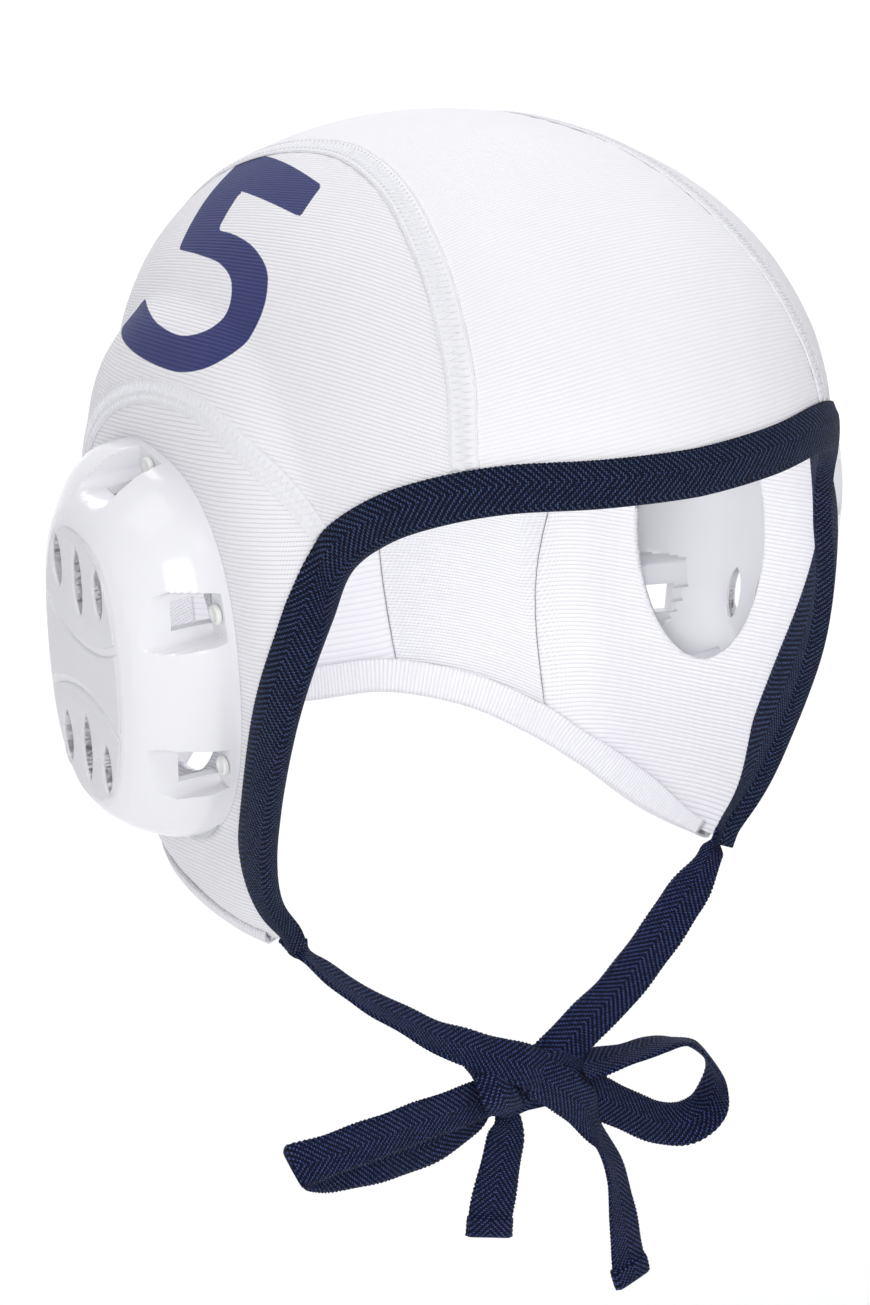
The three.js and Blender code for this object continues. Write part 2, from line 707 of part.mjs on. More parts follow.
function crownPanel() {
  const right = sideways(crownSeam, -halfJoint);
  const frontHalf = edgeStretch(faceCloth, 0, faceMark.crown, 0, halfJoint);
  const napeHalf = edgeStretch(neckCloth, neckMark.crown, neckCloth.length - 1, halfJoint, 0);
  const front = joined([...frontHalf].reverse(), mirroredLine([...frontHalf].reverse()));
  const nape = joined(napeHalf, mirroredLine(napeHalf));
  return clothPanel(right, mirroredLine(right).reverse(), front, nape);
}

function earPanel() {
  const seam = sideways(earSeam, halfJoint);
  const front = edgeStretch(faceCloth, faceMark.ear, faceCloth.length - 1, halfJoint, 0);
  const neck = edgeStretch(neckCloth, 0, neckMark.ear, 0, halfJoint);
  seam[0] = front[0];
  seam[seamSteps] = neck[neck.length - 1];
  const panel = clothPanel(seam.slice(0, earSteps + 1), neck, front, seam.slice(earSteps));
  const hole = ovalPrism(earHoleWidth / 2, earHoleHeight / 2, 2, -guardDepth / 2, guardDepth, holeSides);
  hole.applyMatrix4(earFrames.right);
  return geometryOf(solid(panel).subtract(solid(hole)));
}

// Superellipse outline with the given half sizes.
function ovalShape(across, along, square, sides) {
  const rounded = (value, half) => Math.sign(value) * Math.abs(value) ** (2 / square) * half;
  return new THREE.Shape(Array.from({ length: sides }, (_, i) => {
    const turn = 2 * Math.PI * (i + 0.5) / sides;
    return new THREE.Vector2(rounded(Math.cos(turn), across), rounded(Math.sin(turn), along));
  }));
}

function prism(shape, bottom, height, curveSegments = 6) {
  const geometry = new THREE.ExtrudeGeometry(shape, { depth: height, bevelEnabled: false, curveSegments });
  return geometry.translate(0, 0, bottom);
}

function ovalPrism(across, along, square, bottom, height, sides) {
  return prism(ovalShape(across, along, square, sides), bottom, height);
}

function block(low, high) {
  const size = high.map((value, k) => value - low[k]);
  const middle = high.map((value, k) => (value + low[k]) / 2);
  return new THREE.BoxGeometry(...size).translate(...middle);
}

const faceAcross = guardWidth / 2 * faceRow.across;
const faceAlong = guardHeight / 2 * faceRow.along;

// The guard's form shrunk by a wall, standing on its base plane or reaching below it.
function guardForm(wall, foot, sides, every = 1) {
  const last = guardRows.length - 1;
  const kept = guardRows.filter((_, i) => i === 0 || (last - i) % every === 0);
  const rows = kept.map((row) => ({
    z: row.rise * (guardDepth - wall),
    across: guardWidth / 2 * row.across - wall,
    along: guardHeight / 2 * row.along - wall,
  }));
  if (foot > 0) rows.unshift({ ...rows[0], z: -foot });
  const profile = [new THREE.Vector2(0, rows[0].z)];
  rows.forEach((row) => profile.push(new THREE.Vector2(row.across, row.z)));
  profile.push(new THREE.Vector2(0, rows[rows.length - 1].z));
  const lathe = new THREE.LatheGeometry(profile, sides);
  const spots = lathe.attributes.position;
  for (let k = 0; k < spots.count; k += 1) {
    const j = k % profile.length;
    const row = rows[Math.min(Math.max(j - 1, 0), rows.length - 1)];
    const onAxis = j === 0 || j === profile.length - 1;
    const turn = 2 * Math.PI * Math.floor(k / profile.length) / sides;
    const rounded = (value, half) => Math.sign(value) * Math.abs(value) ** (2 / guardSquare) * half;
    const clean = (value) => (Math.abs(value) < 1e-9 ? 0 : value);
    spots.setXYZ(k,
      onAxis ? 0 : rounded(clean(Math.cos(turn)), row.across),
      onAxis ? 0 : rounded(clean(Math.sin(turn)), row.along),
      row.z);
  }
  return facingOut(closed(lathe));
}

// A window's frame on the guard's base: x out to the rim, y along it, z out of the head.
function windowFrame(window) {
  const turn = THREE.MathUtils.degToRad(window.turn);
  const atEnd = window.turn % 180 !== 0;
  const [reach, span] = atEnd
    ? [guardHeight / 2, guardWidth / 2] : [guardWidth / 2, guardHeight / 2];
  const rim = reach * (1 - Math.abs(window.along) ** guardSquare) ** (1 / guardSquare);
  return new THREE.Matrix4().makeRotationZ(turn)
    .multiply(new THREE.Matrix4().makeTranslation(rim, window.along * span, 0));
}

function placedIn(frame, geometry) {
  return solid(geometry.applyMatrix4(frame));
}

// The guard's flat face carries two lens panels and a waisted one, with grooves between.
function facePanels() {
  const foot = guardDepth - guardWall / 2;
  const height = guardWall / 2 + reliefHeight;
  const face = solid(ovalPrism(
    faceAcross - faceInset, faceAlong - faceInset, guardSquare, foot, height, faceSides));
  const disc = (radius, side) => {
    const geometry = ovalPrism(radius, radius, 2, foot - 1, height + cutPast, formSides);
    return solid(geometry.translate(0, side * lensMiddle, 0));
  };
  const upper = face.intersect(disc(lensRadius, 1));
  const lower = face.intersect(disc(lensRadius, -1));
  const waist = face.subtract(disc(lensRadius + grooveWidth, 1)).subtract(disc(lensRadius + grooveWidth, -1));
  return upper.add(lower).add(waist);
}

function slotPrism(slot, side) {
  const shape = new THREE.Shape();
  const half = slot.length / 2;
  shape.moveTo(0, -half);
  shape.quadraticCurveTo(slotWidth, 0, 0, half);
  shape.quadraticCurveTo(-slotWidth, 0, 0, -half);
  const geometry = prism(shape, guardDepth / 2, guardDepth, 3);
  return solid(geometry.translate(slot.across * faceAcross, side * slot.along * faceAlong, 0));
}

function earGuard() {
  let outer = solid(guardForm(0, 0, formSides)).add(facePanels());
  let hollow = solid(guardForm(guardWall, 1, hollowSides, 2));
  const cuts = [];
  const half = pocketWidth / 2;
  const roof = guardDepth + cutPast;
  const back = -pocketReach - guardWall;
  guardWindows.forEach((window) => {
    const frame = windowFrame(window);
    const pocket = block([-pocketReach, -half, pocketFloor], [guardDepth, half, roof]);
    const pocketWalls = block([back, -half - guardWall, -cutPast], [guardDepth, half + guardWall, roof]);
    const opening = block([back - cutPast, -windowHeight / 2, -cutPast],
      [windowReach - pocketReach, windowHeight / 2, guardDepth / 2 + cutPast]);
    outer = outer.subtract(placedIn(frame, pocket));
    hollow = hollow.subtract(placedIn(frame, pocketWalls));
    cuts.push(placedIn(frame, opening));
    cuts.push(placedIn(frame, pinShaft(pinRadius + gap, -1, pocketFloor + 1)));
  });
  slotRow.forEach((slot) => cuts.push(slotPrism(slot, 1), slotPrism(slot, -1)));
  return geometryOf(cuts.reduce((body, cut) => body.subtract(cut), outer.subtract(hollow)));
}

function pinShaft(radius, bottom, top) {
  const geometry = new THREE.CylinderGeometry(radius, radius, top - bottom, pinSides);
  return geometry.rotateX(Math.PI / 2).translate(pinPlace, 0, (top + bottom) / 2);
}

// A pin: a short shaft through the pocket's floor under a flat round head.
function guardPin() {
  const seat = pocketFloor + gap;
  const profile = [
    [0, 0], [pinRadius, 0], [pinRadius, seat], [pinHeadRadius, seat],
    [pinHeadRadius, seat + pinHeadThick], [0, seat + pinHeadThick],
  ].map(([radius, height]) => new THREE.Vector2(radius, height));
  const geometry = new THREE.LatheGeometry(profile, pinSides).rotateX(Math.PI / 2);
  return facingOut(closed(geometry.translate(pinPlace, 0, 0)));
}

function guardRing() {
  const shape = ovalShape(guardWidth / 2, guardHeight / 2 + ringPeek / 2, guardSquare, formSides);
  shape.holes.push(ovalShape(
    guardWidth / 2 - ringBand, guardHeight / 2 - ringBand, guardSquare, formSides));
  return prism(shape, 0, ringThick).translate(0, -ringPeek / 2, 0);
}

// The bow's knot: a blunt lump with a tape wrapped round its waist.
function bowKnot() {
  const geometry = new THREE.SphereGeometry(1, knotSides, knotRings);
  const spots = geometry.attributes.position;
  const blunt = (value, half) => Math.sign(value) * Math.abs(value) ** knotBlunt * half;
  for (let k = 0; k < spots.count; k += 1) {
    const spot = new THREE.Vector3().fromBufferAttribute(spots, k);
    const waist = 1 - knotWaist.depth * Math.exp(-((spot.x / knotWaist.reach) ** 2));
    spots.setXYZ(k, blunt(spot.x, knotSize.across / 2),
      blunt(spot.y, waist * knotSize.deep / 2), blunt(spot.z, waist * knotSize.high / 2));
  }
  return facingOut(closed(geometry.translate(...knotMiddle)));
}

// Length along a line until it is clear of an edge by a distance, from the line's start.
function lengthClearOf(line, edge, distance) {
  const curve = new THREE.CatmullRomCurve3(line, false, 'centripetal');
  const spots = curve.getSpacedPoints(lineDivisions);
  const fine = new THREE.CatmullRomCurve3(edge, false, 'centripetal').getSpacedPoints(lineDivisions);
  const clear = spots.findIndex((spot) => fine.every((point) => point.distanceTo(spot) > distance));
  return clear / lineDivisions * curve.getLength();
}

// Seams stop where the folded tape and the hem begin.
function seam(line, width) {
  const start = lengthClearOf(line, faceHalf, bindingWidth + 2 * gap + width / 4);
  const end = lengthClearOf([...line].reverse(), neckHalf, hemWidth + 2 * gap + width / 4);
  return seamBand(trimmed(line, start, end, bandSteps), width);
}

const faceWhole = joined(mirroredLine(faceHalf), faceHalf);
const neckWhole = joined(neckHalf, mirroredLine(neckHalf));
const tipTrim = lengthClearOf(neckHalf, faceHalf, bindingWidth + 2 * gap);
const hemLine = trimmed(neckWhole, tipTrim, tipTrim, hemSteps);

const cap = new THREE.Group();
cap.add(named('crown_panel', crownPanel(), clothWhite));
cap.add(named('face_binding', foldedTape(faceWhole, bindingWidth), tapeNavy));
cap.add(named('neck_hem', foldedTape(hemLine, hemWidth), clothWhite));

const bothSides = [
  { part: 'side_panel', geometry: sidePanel(), material: clothWhite },
  { part: 'ear_panel', geometry: earPanel(), material: clothWhite },
  { part: 'crown_seam', geometry: seam(crownSeam, crownSeamWidth), material: clothWhite },
  { part: 'ear_seam', geometry: seam(earSeam, earSeamWidth), material: clothWhite },
  { part: 'chin_tie', geometry: tape(tieRoute, tieSteps), material: tapeNavy },
];
bothSides.forEach(({ part, geometry, material }) => {
  cap.add(named(`${part}_right`, geometry, material));
  cap.add(named(`${part}_left`, mirrored(geometry), material));
});

cap.add(named('bow_knot', bowKnot(), tapeNavy));
cap.add(named('bow_loop_right', tape(rightLoopRoute, loopSteps), tapeNavy));
cap.add(named('bow_loop_left', tape(leftLoopRoute, loopSteps), tapeNavy));
cap.add(named('bow_tail_right', tape(rightTailRoute, tailSteps, tailHem), tapeNavy));
cap.add(named('bow_tail_left', tape(leftTailRoute, tailSteps, tailHem), tapeNavy));

const ringSeat = clothThick + gap;
const guardSeat = ringSeat + ringThick + gap;
const guardBody = earGuard();
['right', 'left'].forEach((side) => {
  const ear = new THREE.Group();
  earFrames[side].decompose(ear.position, ear.quaternion, ear.scale);
  const ring = named(`guard_ring_${side}`, guardRing(), ringClear);
  ring.position.z = ringSeat;
  const guard = named(`ear_guard_${side}`, guardBody.clone(), guardWhite);
  guard.position.z = guardSeat;
  ear.add(ring, guard);
  guardWindows.forEach((window) => {
    const pin = named(`guard_pin_${window[side]}_${side}`, guardPin(), pinWhite);
    windowFrame(window).decompose(pin.position, pin.quaternion, pin.scale);
    pin.position.z += guardSeat;
    ear.add(pin);
  });
  cap.add(ear);
});

export default cap;
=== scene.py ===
"""Water polo cap: cloth panels, stitched seams, herringbone tape and ear guards round the CAD frame."""

import math
from contextlib import contextmanager

import bmesh
import bpy
import numpy as np
from mathutils import Matrix, Vector


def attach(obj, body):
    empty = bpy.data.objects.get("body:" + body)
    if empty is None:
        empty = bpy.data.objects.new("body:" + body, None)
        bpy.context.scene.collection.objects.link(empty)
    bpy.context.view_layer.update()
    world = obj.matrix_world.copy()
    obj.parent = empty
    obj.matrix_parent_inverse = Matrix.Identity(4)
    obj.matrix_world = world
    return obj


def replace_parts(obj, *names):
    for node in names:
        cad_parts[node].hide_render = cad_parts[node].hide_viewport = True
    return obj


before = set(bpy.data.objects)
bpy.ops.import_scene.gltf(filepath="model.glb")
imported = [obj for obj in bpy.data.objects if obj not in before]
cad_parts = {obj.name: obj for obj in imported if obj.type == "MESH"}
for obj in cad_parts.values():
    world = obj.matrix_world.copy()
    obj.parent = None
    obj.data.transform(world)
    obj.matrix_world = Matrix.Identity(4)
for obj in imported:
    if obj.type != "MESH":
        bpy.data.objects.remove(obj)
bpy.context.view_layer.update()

MM = 0.001

# Camera, as the photograph was taken
AZIMUTH = math.radians(-33)
ELEVATION = math.radians(19)
AIM = Vector((0, 0, -0.120))
DISTANCE = 1.3
FOCAL_PIXELS = 4.2 * 1300
FRAME_WIDE, FRAME_HIGH = 870, 1305
AIM_PIXEL = (476, 625)
SENSOR = 24.0

# Sizes shared with the part's source, in millimetres
HEAD_WIDTH, HEAD_FRONT, HEAD_BACK = 150.0, 89.0, 99.0
CROWN_HEIGHT, FLAP_DROP = 68.0, 184.0
CLOTH, TAPE, LINING_GAP = 1.3, 0.8, 0.7
BINDING_WIDTH, HEM_WIDTH = 10.0, 8.0
CROWN_SEAM_WIDTH, EAR_SEAM_WIDTH = 6.5, 5.5
GUARD_WIDTH, GUARD_HEIGHT, GUARD_DEPTH, GUARD_WALL = 73.0, 95.0, 20.5, 2.2
GUARD_SQUARE = 2.5
RING_THICK, RING_BAND, RING_PEEK = 2.0, 7.0, 2.2
POCKET_WIDTH, POCKET_REACH, POCKET_FLOOR = 14.0, 8.0, -0.5
WINDOW_HEIGHT, WINDOW_REACH, WINDOW_TOP = 7.5, 1.6, 9.6
PIN_RADIUS, PIN_HEAD, PIN_HEAD_THICK, PIN_PLACE = 1.3, 2.4, 1.4, -3.2
EAR_HOLE = (25.0, 33.0)
EAR_AHEAD, EAR_DROP, EAR_REACH = -14.0, 112.6, 74.5
LEAN_BACK, LEAN_DOWN = math.radians(4), math.radians(5)
FLAT_EASE = 1.8
GAP = 0.3
TIE_WIDTH, TIE_THICK = 11.0, 1.2
RING_SEAT = CLOTH + GAP
GUARD_SEAT = RING_SEAT + RING_THICK + GAP

# Sections of the head: fall, width, front, back, squareness
HEAD_SECTIONS = np.array([
    (1.0, 1.0, 1.0, 1.0, 2.15), (1.2, 0.995, 1.0, 0.99, 2.3), (1.4, 0.975, 0.98, 0.95, 2.45),
    (1.65, 0.94, 0.95, 0.9, 2.4), (1.85, 0.885, 0.92, 0.85, 2.35), (2.0, 0.81, 0.9, 0.8, 2.3),
    (2.2, 0.66, 0.86, 0.72, 2.2)])
DOME_SQUARE = (2.15, 1.85, 2.2)

# Lines on the head: across, ahead and drop, as in the part's source
FACE_LINE = [
    (0.0, 1.0, 0.345), (0.3, 0.965, 0.343), (0.55, 0.855, 0.346), (0.7, 0.745, 0.365), (0.8, 0.64, 0.395),
    (0.87, 0.55, 0.44), (0.905, 0.495, 0.515), (0.93, 0.435, 0.6), (0.955, 0.375, 0.7), (0.965, 0.325, 0.78),
    (0.93, 0.265, 0.85), (0.86, 0.215, 0.92), (0.79, 0.205, 0.985)]
NECK_LINE = [
    (0.79, 0.205, 0.985), (0.8, 0.02, 0.992), (0.79, -0.2, 0.988), (0.76, -0.42, 0.968), (0.68, -0.62, 0.94),
    (0.55, -0.78, 0.915), (0.33, -0.9, 0.895), (0.0, -0.945, 0.89)]
CROWN_SEAM_LINE = [
    (0.635, 0.785, 0.307), (0.59, 0.7, 0.203), (0.525, 0.515, 0.108), (0.485, 0.38, 0.07),
    (0.438, 0.22, 0.04), (0.4, 0.06, 0.026), (0.37, -0.12, 0.022), (0.372, -0.31, 0.034),
    (0.392, -0.48, 0.058), (0.4, -0.72, 0.15),
    (0.39, -0.9, 0.3), (0.38, -0.97, 0.48), (0.36, -0.96, 0.7)]
EAR_SEAM_LINE = [
    (0.896, 0.49, 0.408), (0.94, 0.378, 0.352), (0.991, 0.224, 0.306), (1.018, 0.067, 0.282),
    (1.03, -0.137, 0.286), (1.02, -0.31, 0.312), (0.98, -0.49, 0.37), (0.93, -0.62, 0.46), (0.88, -0.7, 0.58),
    (0.8, -0.72, 0.75)]
FACE_SHARES = {"crown": 0.255, "ear": 0.43}
NECK_SHARES = {"ear": 0.5, "crown": 0.79}

# Routes of the tape, in millimetres: where its middle lies and the way that its flat side faces
TIE_ROUTE = [
    ((-60.2, -15.2, -183.2), (-0.6, -0.2, 0.5)), ((-57.2, -16.2, -187.2), (0.2, -0.3, 0.8)),
    ((-53, -17, -191.4), (0.35, -0.45, 0.75)), ((-46.3, -18.3, -197.2), (0.42, -0.5, 0.75)),
    ((-35.1, -21, -206), (0.4, -0.55, 0.73)), ((-25.2, -23, -212.8), (0.36, -0.62, 0.7))]
TIE_OVER = [
    ((-18, -25.5, -216.2), (0.3, -0.7, 0.6)), ((-12.6, -29, -218.3), (0.2, -0.85, 0.5)),
    ((-6.5, -31.3, -220.9), (0.1, -0.9, 0.4)), ((-0.6, -30.5, -224.5), (0.1, -0.9, 0.3))]
TIE_UNDER = [
    ((-15.1, -23.8, -218.8), (0.33, -0.65, 0.68)), ((-8.5, -24.2, -223.2), (0.3, -0.7, 0.6)),
    ((-2, -24.5, -227.5), (0.3, -0.7, 0.6))]
RIGHT_LOOP = [
    ((-15.1, -26.8, -229.2), (0, -1, 0.1)), ((-31.2, -28, -229.9), (0, -1, 0.1)),
    ((-45.9, -29, -231), (0, -1, 0.1)), ((-59.1, -28, -232.8), (-0.1, -1, 0.1)),
    ((-67, -25, -235), (-1, -0.1, 0)), ((-56.5, -22.9, -239), (-0.1, 0.9, -0.3)),
    ((-41.2, -23.2, -240), (0, 1, -0.1)), ((-27.1, -23.2, -239), (0, 1, -0.1)),
    ((-15.1, -22.8, -234.6), (0, 1, -0.1))]
LEFT_LOOP = [
    ((15.1, -28.4, -226.6), (0, -0.3, 0.95)), ((25, -29.4, -226.2), (0, 0, 1)),
    ((33, -29.2, -225.9), (0, 0.05, 1)), ((41, -28, -227.4), (0.2, 0.15, 1)),
    ((49, -27.5, -232), (0.8, -0.3, 0.6)), ((53.5, -26.5, -240), (1, -0.15, 0)),
    ((52, -25.5, -248), (0.75, 0.5, -0.45)), ((46, -25, -251), (0.25, 0.85, -0.5)),
    ((37, -24.5, -249), (-0.1, 0.9, -0.4)), ((27, -24, -243), (-0.2, 0.9, -0.35)),
    ((15.1, -23.8, -235.4), (-0.1, 0.95, -0.25))]
RIGHT_TAIL = [
    ((-7.6, -25.5, -236.8), (0, -1, 0)), ((-8.4, -26.2, -240.5), (-0.1, -1, 0.2)),
    ((-11.2, -28.3, -246), (-0.2, -1, 0.1)), ((-13.6, -29.5, -252), (-0.3, -0.95, 0.15)),
    ((-15.2, -30, -258), (-0.4, -0.9, 0.2)), ((-15.8, -30, -264), (-0.4, -0.9, 0.2))]
LEFT_TAIL = [
    ((-6, -24, -222), (0, -0.3, 1)), ((-3, -30.2, -224.5), (0, -0.9, 0.4)),
    ((4, -32.2, -229.8), (0.05, -1, 0.05)),
    ((10.5, -31.2, -236), (0.15, -0.95, 0.1)), ((14.2, -29.6, -241.5), (0.4, -0.75, 0.35)),
    ((17, -29, -247), (0.58, -0.6, 0.55)), ((20.4, -31, -257), (0.45, -0.8, 0.35)),
    ((21.8, -32, -267), (0.3, -0.95, 0.15)), ((23.4, -32, -277), (0.22, -1, 0)),
    ((25, -32, -285.5), (0.2, -1, 0))]
RIGHT_LINK = [((-10.6, -22.4, -233.4), (0, 1, 0)), ((-8.2, -23.4, -234.0), (0, 1, 0))]
KNOT_MIDDLE = np.array((0.0, -24.5, -229.5))
KNOT_HALF = np.array((14.5, 7.5, 7.5))
KNOT_BLUNT = 0.6
FOLDED_END = (5.0, 3.4)


def new_object(name, data):
    thing = bpy.data.objects.new(name, data)
    bpy.context.scene.collection.objects.link(thing)
    return thing


def make_camera():
    back = Vector((math.sin(AZIMUTH) * math.cos(ELEVATION), -math.cos(AZIMUTH) * math.cos(ELEVATION),
                   math.sin(ELEVATION)))
    data = bpy.data.cameras.new("camera")
    data.sensor_fit = "VERTICAL"
    data.sensor_height = SENSOR
    data.lens = FOCAL_PIXELS * SENSOR / FRAME_HIGH
    data.shift_x = (FRAME_WIDE / 2 - AIM_PIXEL[0]) / FRAME_HIGH
    data.shift_y = (AIM_PIXEL[1] - FRAME_HIGH / 2) / FRAME_HIGH
    data.clip_start, data.clip_end = 0.05, 30
    camera = new_object("camera", data)
    camera.location = AIM + back * DISTANCE
    camera.rotation_euler = back.to_track_quat("Z", "Y").to_euler()
    bpy.context.scene.camera = camera


make_camera()


# Lines
def unit(vectors):
    return vectors / np.maximum(np.linalg.norm(vectors, axis=-1, keepdims=True), 1e-12)


def catmull(points, places):
    """Centripetal Catmull-Rom curve through the points, at places from 0 to 1."""
    points = np.asarray(points, float)
    count = len(points)
    run = (count - 1) * np.asarray(places, float)
    i = np.clip(np.floor(run).astype(int), 0, count - 2)
    w = (run - i)[:, None]
    padded = np.vstack([2 * points[0] - points[1], points, 2 * points[-1] - points[-2]])
    a, b, c, d = (padded[i + k] for k in range(4))
    u, v, s = (np.maximum(np.linalg.norm(q - p, axis=1) ** 0.5, 1e-4)[:, None]
               for p, q in ((a, b), (b, c), (c, d)))
    first = ((b - a) / u - (c - a) / (u + v) + (c - b) / v) * v
    last = ((c - b) / v - (d - b) / (v + s) + (d - c) / s) * v
    return b + first * w + (3 * (c - b) - 2 * first - last) * w ** 2 + (2 * (b - c) + first + last) * w ** 3


def run_along(line):
    return np.concatenate([[0], np.cumsum(np.linalg.norm(np.diff(line, axis=0), axis=1))])


def at_run(places, run, values):
    """The values, known along a run of lengths, at other places on it."""
    return np.stack([np.interp(places, run, values[:, k]) for k in range(3)], axis=1)


def at_shares(corners, shares):
    line = catmull(corners, np.linspace(0, 1, 4000))
    run = run_along(line)
    return at_run(np.asarray(shares) * run[-1], run, line)


# The head's wall
def hermite(column, place):
    key = HEAD_SECTIONS[:, 0]
    value = HEAD_SECTIONS[:, column]
    last = len(key) - 1
    spans = [(j - 1, min(j + 1, last)) for j in range(1, last + 1)]
    slope = np.array([0.0] + [(value[high] - value[low]) / (key[high] - key[low]) for low, high in spans])
    i = np.clip(np.searchsorted(key, place, side="left") - 1, 0, last - 1)
    span = key[i + 1] - key[i]
    t = (place - key[i]) / span
    return ((2 * t ** 3 - 3 * t ** 2 + 1) * value[i] + (t ** 3 - 2 * t ** 2 + t) * span * slope[i]
            + (3 * t ** 2 - 2 * t ** 3) * value[i + 1] + (t ** 3 - t ** 2) * span * slope[i + 1])


def head_table(count=6000):
    fall = np.linspace(0, HEAD_SECTIONS[-1, 0], count)
    turn = np.minimum(fall, 1) * math.pi / 2
    low = np.maximum(fall, 1.0)
    dome = fall < 1
    rows = []
    for half, column, square in ((HEAD_WIDTH / 2, 1, DOME_SQUARE[0]), (HEAD_FRONT, 2, DOME_SQUARE[1]),
                                 (HEAD_BACK, 3, DOME_SQUARE[2])):
        rows.append(half * np.where(dome, np.sin(turn) ** (2 / square), hermite(column, low)))
    z = np.where(dome, -CROWN_HEIGHT * (1 - np.abs(np.cos(turn)) ** (2 / DOME_SQUARE[0])),
                 -CROWN_HEIGHT - (fall - 1) * (FLAP_DROP - CROWN_HEIGHT))
    square = np.where(dome, HEAD_SECTIONS[0, 4], hermite(4, low))
    return fall, np.maximum(rows[0], 1e-6), np.maximum(rows[1], 1e-6), np.maximum(rows[2], 1e-6), z, square


HEAD = head_table()
CENTRE = np.array((0.0, 0.0, -CROWN_HEIGHT))


def ear_axes(side):
    level = math.cos(LEAN_DOWN)
    out = np.array((side * math.cos(LEAN_BACK) * level, math.sin(LEAN_BACK) * level, -math.sin(LEAN_DOWN)))
    ahead = unit(np.cross((0, 0, 1), out) * -side)
    x = ahead * -side
    y = unit(np.cross(out, x))
    base = np.array((side * EAR_REACH, -EAR_AHEAD, -EAR_DROP))
    return base, np.stack([x, y, out])


EARS = {-1: ear_axes(-1), 1: ear_axes(1)}


def smoothstep(value, low, high):
    t = np.clip((value - low) / (high - low), 0, 1)
    return t * t * (3 - 2 * t)


def guard_reach(x, y, grow):
    across = np.abs(x) / (GUARD_WIDTH / 2 + grow)
    along = np.abs(y) / (GUARD_HEIGHT / 2 + grow)
    return (across ** GUARD_SQUARE + along ** GUARD_SQUARE) ** (1 / GUARD_SQUARE)


def flattened(points):
    result = points.copy()
    ray = unit(points - CENTRE)
    for side, (base, axes) in EARS.items():
        facing = ray @ axes[2]
        near = (np.sign(points[:, 0]) == side) & (facing >= 0.3)
        hit = CENTRE + ray[near] * (((base - CENTRE) @ axes[2]) / facing[near])[:, None]
        local = (hit - base) @ axes.T
        pull = 1 - smoothstep(guard_reach(local[:, 0], local[:, 1], RING_PEEK), 1.0, FLAT_EASE)
        result[near] = points[near] + (hit - points[near]) * pull[:, None]
    return result


def drape(points):
    """Where rays from the head's centre through the points meet the head's wall."""
    points = np.asarray(points, float)
    shape = points.shape
    ray = points.reshape(-1, 3) - CENTRE
    flat = np.hypot(ray[:, 0], ray[:, 1])
    safe = np.maximum(flat, 1e-9)
    sine = np.where(flat > 1e-9, np.abs(ray[:, 0]) / safe, 0)
    cosine = np.where(flat > 1e-9, ray[:, 1] / safe, -1)
    wanted = np.arctan2(ray[:, 2], flat)
    fall, width, front, back, level, square = HEAD

    def wall(place):
        length = np.where(cosine < 0, np.interp(place, fall, front), np.interp(place, fall, back))
        power = np.interp(place, fall, square)
        across, along = sine / np.interp(place, fall, width), np.abs(cosine) / length
        return (across ** power + along ** power) ** (-1 / power), np.interp(place, fall, level)

    low, high = np.zeros(len(ray)), np.full(len(ray), fall[-1])
    for _ in range(26):
        middle = (low + high) / 2
        reach, z = wall(middle)
        above = np.arctan2(z - CENTRE[2], reach) > wanted
        low, high = np.where(above, middle, low), np.where(above, high, middle)
    reach, z = wall((low + high) / 2)
    placed = np.stack([np.sign(ray[:, 0]) * reach * sine, reach * cosine, z], axis=1)
    return flattened(placed).reshape(shape)


def outward(points):
    shape = np.asarray(points).shape
    points = np.asarray(points, float).reshape(-1, 3)
    ray = unit(points - CENTRE)
    helper = np.where((np.abs(ray[:, 2]) < 0.8)[:, None], (0.0, 0.0, 1.0), (0.0, -1.0, 0.0))
    east = unit(np.cross(helper, ray))
    north = np.cross(ray, east)
    step = 1.5
    across = drape(points + east * step) - drape(points - east * step)
    along = drape(points + north * step) - drape(points - north * step)
    return unit(np.cross(across, along)).reshape(shape)


def head_points(table):
    return drape(np.array(table) * (-HEAD_WIDTH / 2, -HEAD_FRONT, -FLAP_DROP))


def head_line(corners, steps, start=0.0, end=1.0):
    return drape(at_shares(corners, start + (end - start) * np.linspace(0, 1, steps + 1)))


def tangents(line):
    padded = np.vstack([line[:1], line, line[-1:]])
    return padded[2:] - padded[:-2]


def sideways(line, distance):
    side = unit(np.cross(outward(line), tangents(line)))
    return drape(line + side * distance)


def joined(*lines):
    return np.vstack([lines[0]] + [line[1:] for line in lines[1:]])


def mirrored(line):
    return (line * (-1, 1, 1))[::-1]


FRONT_STEPS, SIDE_STEPS, EAR_STEPS = 60, 90, 150
face_corners, neck_corners = head_points(FACE_LINE), head_points(NECK_LINE)
face_half = joined(
    head_line(face_corners, FRONT_STEPS, 0, FACE_SHARES["crown"]),
    head_line(face_corners, SIDE_STEPS, FACE_SHARES["crown"], FACE_SHARES["ear"]),
    head_line(face_corners, EAR_STEPS, FACE_SHARES["ear"], 1))
neck_half = joined(
    head_line(neck_corners, EAR_STEPS, 0, NECK_SHARES["ear"]),
    head_line(neck_corners, SIDE_STEPS, NECK_SHARES["ear"], NECK_SHARES["crown"]),
    head_line(neck_corners, FRONT_STEPS, NECK_SHARES["crown"], 1))
FACE_MARK = {"crown": FRONT_STEPS, "ear": FRONT_STEPS + SIDE_STEPS}
NECK_MARK = {"ear": EAR_STEPS, "crown": EAR_STEPS + SIDE_STEPS}
SEAM_STEPS = 2 * EAR_STEPS
crown_seam = head_line(
    np.vstack([face_half[FACE_MARK["crown"]], head_points(CROWN_SEAM_LINE), neck_half[NECK_MARK["crown"]]]),
    SEAM_STEPS)
